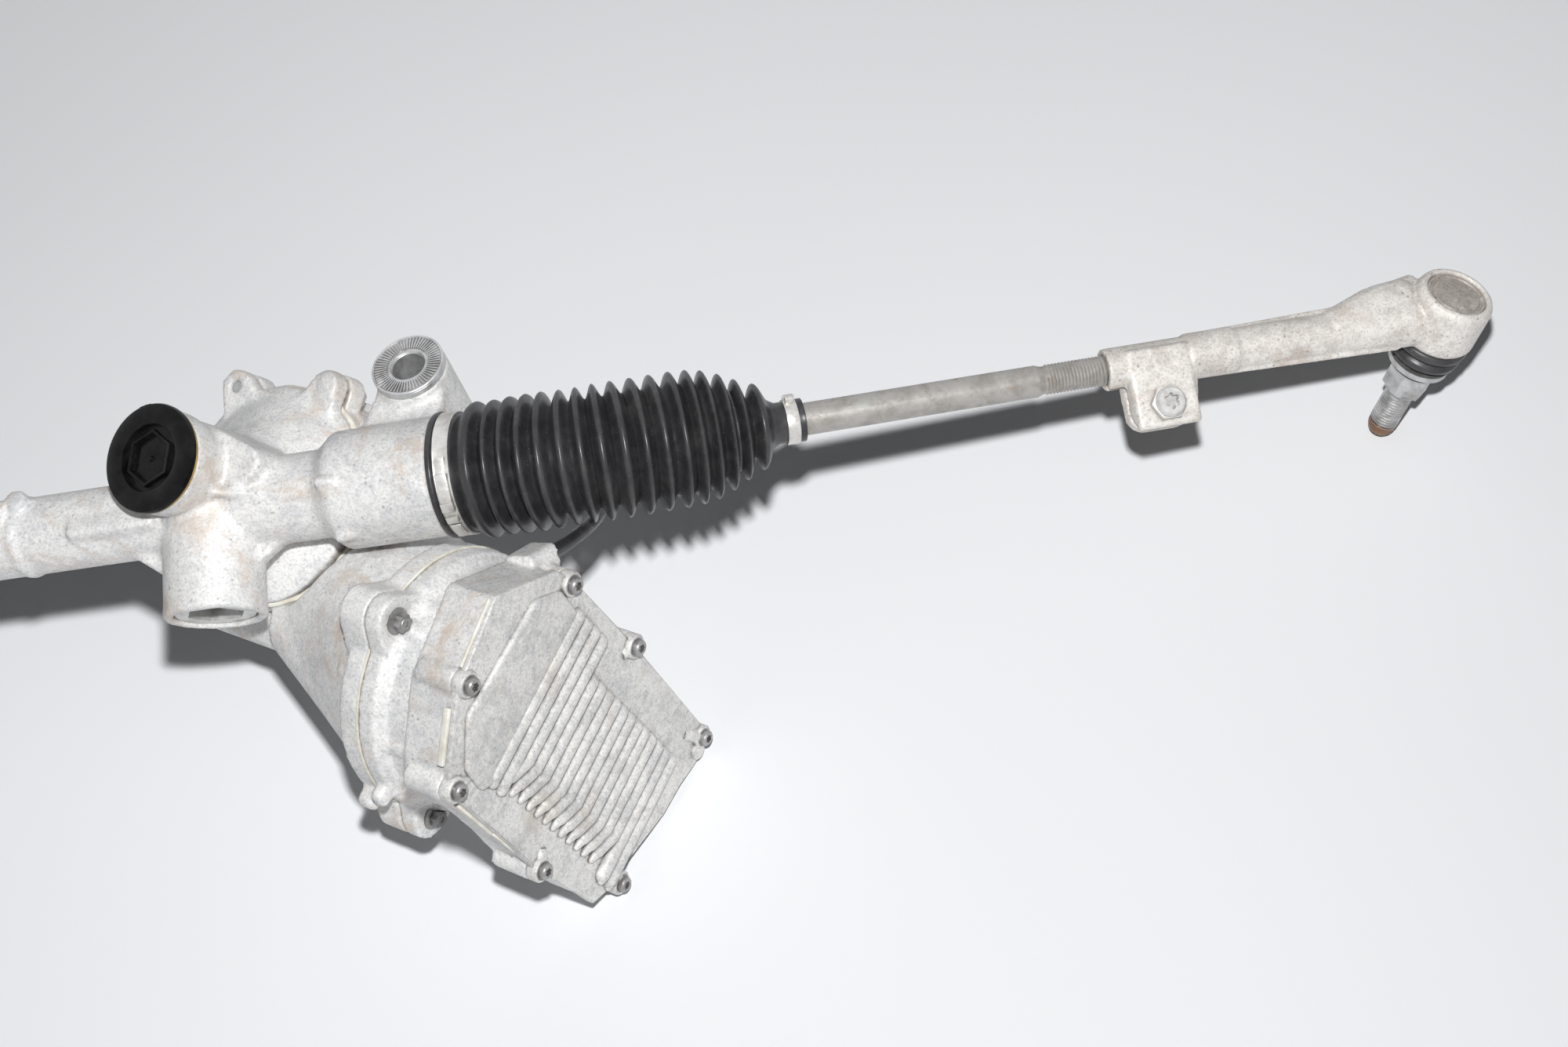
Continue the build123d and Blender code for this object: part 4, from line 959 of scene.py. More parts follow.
def settle(
    bm: Mesh,
    name: str,
    place: Matrix,
    finish: Finish,
    body: str | None,
    sharp: float = 38.0,
) -> bpy.types.Object:
    """Turns a drawn mesh into a finished piece that rides on a body.

    Args:
        bm: Mesh in millimetres; it is freed.
        name: Name of the piece.
        place: Matrix into the row frame.
        finish: Its finish.
        body: The body that carries it, or None for a piece that no body carries.
        sharp: Angle in degrees from which an edge stays sharp.

    Returns:
        The piece.
    """
    bmesh.ops.transform(bm, matrix=place, verts=bm.verts)
    bmesh.ops.recalc_face_normals(bm, faces=bm.faces)
    mesh = mesh_of(bm, name)
    mesh.shade_smooth()
    mesh.set_sharp_from_angle(angle=math.radians(sharp))
    return dress(mesh, name, finish, body)


def dress(mesh: bpy.types.Mesh, name: str, finish: Finish, body: str | None) -> bpy.types.Object:
    """Makes the object of a finished mesh, with its material and body."""
    piece = linked(name, mesh)
    mesh.materials.clear()
    mesh.materials.append(finish.material())
    if body is not None:
        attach(piece, body)
    LOG.info("%s: %d faces", name, len(mesh.polygons))
    return piece


@dataclass
class Studio:
    """Floor, backdrop, lamps and camera."""

    camera_at: Point = (0.3597, -0.6827, 0.7802)
    right: Point = (0.974, -0.004, -0.2266)
    up: Point = (0.1355, 0.8118, 0.5681)
    back: Point = (0.1817, -0.584, 0.7912)
    lens: float = 50.4
    floor_colour: Colour = (0.90, 0.91, 0.93)
    lamp_lift: float = 0.125
    lamp_size: float = 0.036
    lamp_power: float = 10.2
    fill_at: Point = (-0.5, 1.1, 1.3)
    fill_size: float = 1.2
    fill_power: float = 0.15
    aim: Point = (-0.02, -0.08, -0.02)
    sky: float = 0.05
    floor_drop: float = 0.0004
    fade_from: float = 0.92
    fade_to: float = 1.4

    def build(self) -> None:
        """Makes all of it."""
        self.make_camera()
        self.make_floor()
        self.make_lamps()
        self.make_sky()
        bpy.context.scene.view_settings.view_transform = "Standard"

    def make_camera(self) -> None:
        """Camera at the viewing angle, with no shift and no depth of field."""
        lens = bpy.data.cameras.new("camera")
        lens.sensor_fit = "HORIZONTAL"
        lens.sensor_width = 36.0
        lens.lens = self.lens
        lens.clip_start = 0.01
        stand = linked("camera", lens)
        grid = Matrix((self.right, self.up, self.back)).transposed().to_4x4()
        grid.translation = self.camera_at
        stand.matrix_world = grid
        bpy.context.scene.camera = stand

    def make_floor(self) -> None:
        """Plain pale floor under the lowest point, which fades into the backdrop far out."""
        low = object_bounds()[0][2] - self.floor_drop
        bm = bmesh.new()
        bmesh.ops.create_grid(bm, x_segments=1, y_segments=1, size=9.0, matrix=at(0, 0, low))
        mesh = mesh_of(bm, "floor")
        floor = linked("floor", mesh)
        paint = bpy.data.materials.new("floor_paint")
        paint.use_nodes = True
        sheet = Sheet(paint.node_tree)
        shader = paint.node_tree.nodes["Principled BSDF"]
        where = sheet.node("ShaderNodeTexCoord").outputs["Object"]
        tint = sheet.span(sheet.noise(where, 1.3, 2, 0.5), 0.3, 0.7)
        cool = tuple(part * 0.97 for part in self.floor_colour)
        sheet.feed(shader.inputs["Base Color"], sheet.paint(tint, self.floor_colour, cool))
        shader.inputs["Roughness"].default_value = 0.7
        shader.inputs["Specular IOR Level"].default_value = 0.2
        away = sheet.node("ShaderNodeVectorMath", operation="DISTANCE")
        sheet.feed(away.inputs[0], where)
        away.inputs[1].default_value = (CENTRE_X, 0, low)
        fade = sheet.span(away.outputs["Value"], self.fade_from, self.fade_to, 1.0, 0.0)
        sheet.feed(shader.inputs["Alpha"], fade)
        mesh.materials.append(paint)
        floor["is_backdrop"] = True

    def make_lamps(self) -> None:
        """A key lamp just over the camera and a faint wide fill from behind it."""
        spot = Vector(self.camera_at) + Vector(self.up) * self.lamp_lift
        aim = Vector(self.aim)
        self.lamp("key", spot, aim, self.lamp_size, self.lamp_power)
        self.lamp("fill", Vector(self.fill_at), aim, self.fill_size, self.fill_power)

    def lamp(self, name: str, spot: Vector, aim: Vector, size: float, power: float) -> None:
        """Adds a square lamp that looks from its spot at the aim and reaches near and far alike."""
        light = bpy.data.lights.new(name, "AREA")
        light.shape = "SQUARE"
        light.size = size
        light.energy = power
        light.use_nodes = True
        reach = light.node_tree.nodes.new("ShaderNodeLightFalloff")
        reach.inputs["Strength"].default_value = 1.0
        glow = light.node_tree.nodes["Emission"]
        light.node_tree.links.new(reach.outputs["Constant"], glow.inputs["Strength"])
        stand = linked(name, light)
        look = (spot - aim).to_track_quat("Z", "Y").to_matrix().to_4x4()
        stand.matrix_world = Matrix.Translation(spot) @ look

    def make_sky(self) -> None:
        """Pale sky for the camera and reflections, and a weaker one as light."""
        world = bpy.data.worlds.new("sky")
        bpy.context.scene.world = world
        world.use_nodes = True
        sheet = Sheet(world.node_tree)
        glow = world.node_tree.nodes["Background"]
        glow.inputs["Color"].default_value = (*self.floor_colour, 1.0)
        path = sheet.node("ShaderNodeLightPath")
        seen = sheet.sum("MAXIMUM", path.outputs["Is Camera Ray"], path.outputs["Is Glossy Ray"])
        seen = sheet.sum("MAXIMUM", seen, path.outputs["Is Transmission Ray"])
        strength = sheet.plus(self.sky, sheet.times(seen, 1.0 - self.sky))
        sheet.feed(glow.inputs["Strength"], strength)


@dataclass
class SensorLead:
    """Cable from the electronics to the torque sensor."""

    diameter: float = 0.007
    length: float = 0.578
    route: tuple[Point, ...] = (
        (0.061947, -0.094105, -0.017117),
        (0.073, -0.074, -0.032),
        (0.080, -0.046, -0.048),
        (0.064, -0.020, -0.068),
        (0.028, -0.006, -0.094),
        (-0.024, 0.004, -0.112),
        (-0.078, 0.010, -0.118),
        (-0.134, 0.008, -0.112),
        (-0.178, -0.008, -0.076),
        (-0.214, -0.028, -0.036),
        (-0.250, -0.024, -0.033),
        (-0.268, -0.002, -0.004),
        (-0.266, -0.020, 0.028),
        (-0.318702, -0.031080, 0.042517),
    )

    def build(self) -> None:
        """Lays the cable as one smooth spline."""
        line = bpy.data.curves.new("sensor_lead", "CURVE")
        line.dimensions = "3D"
        line.resolution_u = 10
        line.bevel_depth = self.diameter / 2
        line.bevel_resolution = 4
        line.use_fill_caps = True
        spline = line.splines.new("NURBS")
        spline.points.add(len(self.route) - 1)
        for point, spot in zip(spline.points, self.route):
            point.co = (*spot, 1.0)
        spline.order_u = 3
        spline.use_endpoint_u = True
        lead = linked("sensor_lead", line)
        line.materials.append(RUBBER.material())
        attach(lead, "housing")
        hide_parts("sensor_cable")
        LOG.info("sensor_lead: %d route points", len(self.route))


@dataclass
class Casting:
    """A cast or forged node whose edges are softened, with the small lumps that are cast on it."""

    node: str
    body: str
    finish: Finish
    slot: str
    voxel: float = 0.0013
    passes: int = 5

    def lumps(self, bm: Mesh) -> None:
        """Adds cast-on lumps, in metres; a plain casting has none."""

    @contextmanager
    def seated(self, bm: Mesh, seat: Seat) -> Iterator[None]:
        """Takes what is drawn inside it, in a seat's millimetres, to its place on the casting."""
        known = set(bm.verts)
        yield
        place = self.side_of().turned(seat.matrix())
        bmesh.ops.transform(bm, matrix=place, verts=newer(bm, known))

    def side_of(self) -> Side:
        """The side that the casting is on."""
        return Side.LEFT if self.node.endswith("_left") else Side.RIGHT

    def build(self) -> bpy.types.Object:
        """Joins node and lumps, melts their edges together and stands in for the node.

        Returns:
            The softened casting.
        """
        bm = bmesh.new()
        bm.from_mesh(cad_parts[self.node].data)
        bmesh.ops.remove_doubles(bm, verts=bm.verts, dist=2e-6)
        self.lumps(bm)
        bmesh.ops.recalc_face_normals(bm, faces=bm.faces)
        raw = mesh_of(bm, self.node + "_raw")
        carrier = linked(self.node + "_raw", raw)
        remesh = carrier.modifiers.new("melt", "REMESH")
        remesh.mode = "VOXEL"
        remesh.voxel_size = self.voxel
        soften = carrier.modifiers.new("soften", "SMOOTH")
        soften.factor = 0.5
        soften.iterations = self.passes
        settled = carrier.evaluated_get(bpy.context.evaluated_depsgraph_get())
        mesh = bpy.data.meshes.new_from_object(settled)
        mesh.name = self.node + "_cast"
        bpy.data.objects.remove(carrier)
        bpy.data.meshes.remove(raw)
        mesh.shade_smooth()
        piece = dress(mesh, self.node + "_cast", self.finish, self.body)
        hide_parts(self.node)
        return piece


@dataclass
class RackHousing(Casting):
    """Main housing tube with towers, barrel and mounting ears."""

    def lumps(self, bm: Mesh) -> None:
        """Ribs, bosses and rims of the main casting."""
        with self.seated(bm, PINION):
            # Collar, ledge and lug round the pinion tower.
            lathe(bm, [(21, 19), (24.4, 24), (25.5, 30), (25.5, 39.2), (21, 39.2)], 64, True)
            bar_between(bm, (17, -16, 22), (39, -19, 11.5), 2.4, 1.4)
            drum(bm, -46.0, -36.5, 6.5, 6.0, spot=(43, 47))
            bar_between(bm, (0, 38, -37), (20, 34, -37), 5.5, 4.5)
        with self.seated(bm, RACK):
            # Flat rib, bosses and tabs along the bar's axis.
            block(bm, (12, 7, 46), (-11.0, 15.0, -149), rounding=1.2)
            bar_between(bm, (6, 14, -200), (6, 24, -200), 6.5, 5.6)
            block(bm, (5, 7, 10), (-13.5, 24.5, -35), rounding=1.5)
            block(bm, (5, 5, 9), (-28.5, 1, -33), rounding=1.2)
            lathe(bm, [(18.8, -206), (20.6, -204.5), (20.6, -201.5), (18.8, -200)], 56, True)
        with self.seated(bm, YOKE):
            # Rim of the pressure-piece tower.
            lathe(bm, [(22.8, 49.5), (24.9, 50.5), (25.1, 53.4), (24.2, 54.2), (22.8, 54.2)], 56, True)


@dataclass
class GearHousing(Casting):
    """Bowl of the worm wheel with the worm's tube."""

    def lumps(self, bm: Mesh) -> None:
        """Stiffening ribs under and round the bowl, and pads at its rim."""
        with self.seated(bm, PINION):
            # Ribs that run down the bowl and round its floor.
            for bearing in range(20, 380, 40):
                block(bm, (8, 3.4, 44), (56.0, 0, -78), rounding=1.2, place=spun(bearing))
            lathe(bm, [(20, -107.4), (24, -107.4), (24, -104), (20, -104)], 48, True)
            lathe(bm, [(55.4, -55), (58.4, -56.5), (58.4, -60.5), (55.4, -62)], 64, True)
        with self.seated(bm, WORM):
            # Step rings and short ribs on the side that carries the motor.
            lathe(bm, [(58.0, 101.5), (64.0, 103), (64.0, 107), (58.0, 108.5)], 64, True)
            for bearing in (35, 100, 150, 215, 260, 330):
                block(bm, (16, 4, 14), (52, 0, 97), rounding=1.5, place=spun(bearing))
            block(bm, (16, 9, 11), (-64, 22, 106), turn=160, rounding=3)


@dataclass
class MotorHousing(Casting):
    """Motor can with its flange."""

    def lumps(self, bm: Mesh) -> None:
        """Rims, bolt bosses and pads on the motor can."""
        with self.seated(bm, WORM):
            # Layered rims, bosses and a raised step.
            lathe(bm, [(59.0, 121.0), (63.4, 122.5), (63.4, 124.6), (59.0, 126.4)], 72, True)
            lathe(bm, [(59.2, 158.0), (61.6, 159.5), (61.6, 164.0), (59.2, 165.4)], 72, True)
            for x, y in FlangeBolts.spots:
                reach = math.hypot(x, y)
                drum(bm, 113.0, 121.6, 8.6, 8.0, spot=(x, y))
                bar_between(bm, (x * 0.9, y * 0.9, 118), (x * 56 / reach, y * 56 / reach, 140), 6.5, 2.5)
            for bearing in (40, 58, 128, 150, 232, 262):
                block(bm, (5, 7, 34), (59.4, 0, 140), rounding=1.6, place=spun(bearing))
            block(bm, (14, 10, 8), (-60, 30, 118), turn=153, rounding=2.5)


@dataclass
class ElectronicsFrame(Casting):
    """Tray between the motor and the finned cover."""

    def lumps(self, bm: Mesh) -> None:
        """Screw columns of the tray."""
        with self.seated(bm, ECU):
            # A column and a rib under each cover screw.
            for x, y in CoverScrews.spots:
                drum(bm, 169.5, 190.6, 6.2, 6.6, spot=(x, y))
                bar_between(bm, (x, y, 176), (x * 0.78, y * 0.82, 172), 5.5, 6.5)


@dataclass
class ElectronicsCover:
    """Finned cover plate of the electronics, with a raised field and rounded ribs."""

    low: float = 191.4
    top: float = 194.6
    rib_r: float = 4.36
    rib_level: float = 194.7
    first: float = -30.6
    pitch: float = 8.93
    outline: Outline = (
        (-50, -60), (-52, -47), (-53, 25), (-50, 122), (-38, 131), (-28, 129), (-18, 124), (0, 124),
        (14, 117), (30, 113), (46, 110), (60, 100), (62, 62), (65, 41), (63, 10),
        (62, -52), (54, -62), (24, -84), (-20, -92),
    )
    field_outline: Outline = (
        (-31, -67), (30, -71), (50, -52), (52, -34), (44, -27), (-42, -27), (-44, -52),
    )
    ribs: int = 16

    def slab(
        self,
        bm: Mesh,
        corners: Iterable[tuple[float, float]],
        low: float,
        high: float,
        rounding: float,
    ) -> None:
        """Adds a flat slab with rounded edges.

        Args:
            bm: Mesh that it is added to.
            corners: Its outline.
            low: Level of its underside.
            high: Level of its top.
            rounding: Radius of its edges.
        """
        known = set(bm.verts)
        loop = traced(bm, corners, True)
        base = bmesh.ops.edgeloop_fill(bm, edges=edges_in(loop))["faces"]
        bmesh.ops.extrude_face_region(bm, geom=base, use_keep_orig=True)
        fresh = newer(bm, known)
        raised = fresh[len(fresh) // 2:]
        for vert in fresh:
            vert.co = (vert.co.x, vert.co.z, low)
        for vert in raised:
            vert.co.z = high
        rounded(bm, raised, rounding, segments=3)

    def rib(self, bm: Mesh, spots: Iterable[Point]) -> None:
        """Adds a rounded rib through (x, y, radius) spots."""
        line = [(Vector((x, y, self.rib_level)), radius) for x, y, radius in spots]
        for spot, radius in line:
            stand = Matrix.Translation(spot)
            bmesh.ops.create_uvsphere(bm, u_segments=20, v_segments=12, radius=radius, matrix=stand)
        for (start, thick), (end, thin) in zip(line, line[1:]):
            bar_between(bm, tuple(start), tuple(end), thick, thin)

    def build(self) -> None:
        """Makes plate, field, ribs, screw collars and the small ear."""
        bm = bmesh.new()
        self.slab(bm, self.outline, self.low, self.top, 1.0)
        self.slab(bm, self.field_outline, self.top - 1, self.top + 2.6, 2.2)
        for x, y in CoverScrews.spots:
            collar = [(0, self.low), (6.4, self.low), (6.4, 196.0), (5.8, 196.8), (0, 196.8)]
            lathe(bm, collar, 32, place=at(x, y))
            bar_between(bm, (x, y, 193.4), (x * 0.86, y * 0.88, 192.4), 4.6, 3.0)
        drum(bm, self.low, 196.2, 5.6, 4.8, spot=(-38, 124.6))
        r = self.rib_r
        for index in range(self.ribs):
            y = self.first + self.pitch * index
            left = -40.5 if index < 4 else -22.5
            if index in (0, 1):
                spots = [(left, y, r), (42, y, r), (45.5, y + 2.2, r - 1.2)]
            elif index < 14:
                spots = [(left, y, r), (27.3, y, r), (37.5, y - 5.6, r - 0.3), (43.5, y - 6.6, r - 2.6)]
            else:
                spots = [(left, y, r), (45.5, y - 0.5 * (index - 13), r), (48, y + 1.2, r - 1.5)]
            self.rib(bm, spots)
        piece = settle(bm, "ecu_cover_ribbed", ECU.matrix(), COVER_CAST, "housing", 42)
        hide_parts("ecu_cover")


@dataclass
class PinionCap:
    """Screw cap of the pinion tower: a wide flange, a round recess and a raised hexagon in it."""

    rim: Outline = (
        (0, 30), (14.9, 30), (14.9, 40.8), (25.2, 40.8), (26.6, 41.3), (26.7, 43.3), (26.2, 44.4),
        (25.0, 45.0), (17.4, 45.0), (16.6, 44.6), (16.2, 43.6), (16.0, 41.7), (14, 41.7), (12, 42.3),
        (0, 42.3),
    )
    hexagon: Outline = ((11.6, 41.6), (14.2, 41.6), (13.9, 44.6), (13.4, 44.9), (12.4, 44.6), (11.6, 43.2))
    hexagon_turn: float = 0.3

    def build(self) -> None:
        """Makes the cap and the seal ring that shows under its flange."""
        bm = bmesh.new()
        lathe(bm, self.rim, 96)
        turn = Matrix.Rotation(self.hexagon_turn, 4, "Z")
        lathe(bm, self.hexagon, 6, True, place=turn)
        drum(bm, 41.9, 43.4, 1.8, 1.0, sides=16)
        for bearing, size in ((95, 5.0), (88, 2.6)):
            block(bm, (1.0, size, 2.6), (26.0, 0, 43.2), rounding=0.3, place=spun(bearing))
        name = "pinion_cap_moulded"
        piece = settle(bm, name, PINION.matrix(), CAP_PLASTIC, "housing", 30)
        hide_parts("pinion_cap")
        bm = bmesh.new()
        lathe(bm, [(20, 39.2), (25.8, 39.2), (26.1, 40.0), (25.8, 40.9), (20, 40.9)], 72, True)
        settle(bm, "cap_seal_edge", PINION.matrix(), BRASS, "housing", 40)


@dataclass
class HeadCap:
    """Pressed disc with its rings in the head of a tie-rod end."""

    side: Side
    disc: Outline = (
        (0, 12.4), (15.45, 12.4), (15.45, 13.5), (15.0, 13.9), (13.9, 13.9), (13.3, 13.2), (12.6, 13.1),
        (12.0, 13.7), (0, 13.85),
    )

    def build(self) -> None:
        """Makes the disc of this side."""
        bm = bmesh.new()
        lathe(bm, self.disc, 72)
        name = f"head_cap_{self.side.value}"
        place = self.side.turned(HEAD.matrix())
        body = f"tie_rod_{self.side.value}"
        piece = settle(bm, name + "_disc", place, CAP_DISC, body, 30)
        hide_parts(name)


@dataclass
class TieRodEnd(Casting):
    """Forged end of the tie rod with its clamp cheeks and head."""

    def lumps(self, bm: Mesh) -> None:
        """Parting ridge of the shank, spoon and ring of the head, and pad of the clamp."""
        with self.seated(bm, ROD):
            # Parting ridge on both sides of the shank, a step at the sleeve's start and a stub.
            for way in (-1, 1):
                bar_between(bm, (0, way * 10.1, 310), (0, way * 12.4, 418), 1.5)
            lathe(bm, [(8.6, 304), (11.6, 306), (11.6, 330), (8.6, 334)], 40, True)
            bar_between(bm, (6.5, 4, 306), (4.5, 30, 303), 3.2, 2.2)
        with self.seated(bm, HEAD):
            # Spoon that widens from the shank to the head, and the ring round the cap.
            for start, end, wide, slim in (
                ((62, -8.3, -11.6), (34, -12.6, -3.2), 10.6, 12.2),
                ((34, -12.6, -3.2), (21.5, -12.6, -0.4), 12.2, 11.8),
                ((23, -15.0, 0.0), (9.5, -18.2, 3.0), 9.4, 7.6),
            ):
                bar_between(bm, start, end, wide, slim)
            knee = at(21.5, -12.6, -0.4)
            bmesh.ops.create_uvsphere(bm, u_segments=32, v_segments=20, radius=11.8, matrix=knee)
            lathe(bm, [(15.7, 12.5), (17.6, 12.5), (17.2, 15.7), (16.0, 15.7), (15.6, 15.0)], 56, True)
        with self.seated(bm, CLAMP):
            # Raised pad that the clamp bolt sits on.
            block(bm, (40, 32.6, 5.0), (-8.6, 0.2, 8.4), rounding=1.6)


@dataclass
class CoverScrews:
    """Star-socket screws of the electronics cover."""

    spots: ClassVar[Outline] = (
        (-50, -47), (-52, 25), (-45, 122), (43, 113), (63, 41), (59, -52), (19, -81),
    )
    head_r: float = 4.1
    seat_level: float = 196.8
    head_t: float = 3.0

    def build(self) -> None:
        """Makes all seven as one piece."""
        bm = bmesh.new()
        for index, (x, y) in enumerate(self.spots):
            place = at(x, y) @ Matrix.Rotation(0.4 * index, 4, "Z")
            top = self.seat_level + self.head_t
            socket_head(bm, self.head_r, self.seat_level, top, 2.4, 1.9, place)
            drum(bm, self.seat_level - 18, self.seat_level - 0.02, 2.5, spot=(x, y), sides=16)
            lathe(bm, [(2.6, 196.3), (4.9, 196.3), (4.9, 197.0), (2.6, 197.0)], 24, True, place=at(x, y))
        piece = settle(bm, "cover_screw_heads", ECU.matrix(), SCREW_STEEL, "housing", 30)
        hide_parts("cover_screws")


@dataclass
class FlangeBolts:
    """Lobed bolts that hold the motor to the gear housing."""

    spots: ClassVar[Outline] = ((21.41, 65.91), (-68.78, -8.45), (44.54, -53.09))
    washer: Outline = ((0, 122.02), (6.6, 122.02), (6.6, 122.9), (5.3, 123.7), (0, 123.9))

    def build(self) -> None:
        """Makes the washers, lobed heads and shanks."""
        bm = bmesh.new()
        for index, (x, y) in enumerate(self.spots):
            place = at(x, y) @ Matrix.Rotation(0.7 * index, 4, "Z")
            lathe(bm, self.washer, 32, place=place)
            star(bm, 4.7, 3.7, 123.6, 127.6, place)
            socket_head(bm, 3.5, 127.4, 128.0, 1.6, 0.5, place)
            drum(bm, 104, 122.0, 3.5, spot=(x, y), sides=20)
        piece = settle(bm, "flange_bolt_heads", WORM.matrix(), SCREW_STEEL, "housing", 30)
        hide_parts("flange_bolts")


@dataclass
class ClampBolt:
    """Bolt with star socket, washer and nut through the cheeks of a tie-rod end."""

    side: Side

    def build(self) -> None:
        """Makes the bolt of this side."""
        bm = bmesh.new()
        lathe(bm, [(4.2, 9.02), (9.6, 9.02), (9.6, 10.1), (9.1, 10.5), (4.2, 10.5)], 40, True)
        rounded(bm, drum(bm, 10.5, 14.6, 9.2, sides=6), 0.6, flat_only=True)
        socket_head(bm, 7.5, 14.4, 18.0, 4.3, 3.2, Matrix.Identity(4))
        drum(bm, -15.2, 10.4, 4.0, sides=24)
        rounded(bm, drum(bm, -15.0, -9.1, 7.5, sides=6), 0.5)
        place = self.side.turned(CLAMP.matrix())
        name = f"clamp_bolt_set_{self.side.value}"
        piece = settle(bm, name, place, WHITE_ZINC, f"tie_rod_{self.side.value}", 30)
        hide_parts(f"clamp_bolt_{self.side.value}")


@dataclass
class BallStud:
    """Threads, tip and nut of the outer ball stud."""

    side: Side
    tip: Outline = (
        (0, -84.7), (3.4, -84.5), (5.4, -83.3), (6.6, -81.4), (7.3, -79.2), (7.4, -76.2), (0, -76.0),
    )

    def build(self) -> None:
        """Makes the thread ridges, the brown tip and the flanged nut of this side."""
        body = f"stud_{self.side.value}"
        place = self.side.turned(HEAD.matrix())
        bm = bmesh.new()
        thread(bm, -77.0, -53.0, 6.6, 7.6, 1.75)
        lathe(bm, [(0, -77.5), (6.98, -77.5), (6.98, -52.5), (0, -52.5)], 40)
        settle(bm, f"stud_thread_{self.side.value}", place, DARK_THREAD, body, 25)
        bm = bmesh.new()
        lathe(bm, self.tip, 32)
        settle(bm, f"stud_tip_{self.side.value}", place, RUSTY_TIP, body, 30)
        bm = bmesh.new()
        rounded(bm, drum(bm, -51.0, -38.2, 11.9, sides=6), 0.8, flat_only=True)
        lathe(bm, [(7.2, -52), (9.8, -52), (10.4, -51), (10.4, -50.8), (7.2, -50.8)], 40, True)
        lathe(bm, [(7.2, -38.4), (11.2, -38.4), (11.9, -37.9), (11.9, -37.05), (7.2, -37.05)], 40, True)
        nut_piece = settle(bm, f"stud_nut_{self.side.value}_turned", place, ZINC, body, 30)
        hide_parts(f"stud_nut_{self.side.value}")


@dataclass
class RodThread:
    """Thread of the tie rod where it enters the clamped end."""

    side: Side

    def build(self) -> None:
        """Makes the ridge of this side, from the step to the clamp."""
        bm = bmesh.new()
        thread(bm, 232.5, 264.0, 6.6, 7.5, 1.75)
        place = self.side.turned(ROD.matrix())
        name = f"rod_thread_{self.side.value}"
        settle(bm, name, place, DULL_STEEL, f"tie_rod_{self.side.value}", 25)


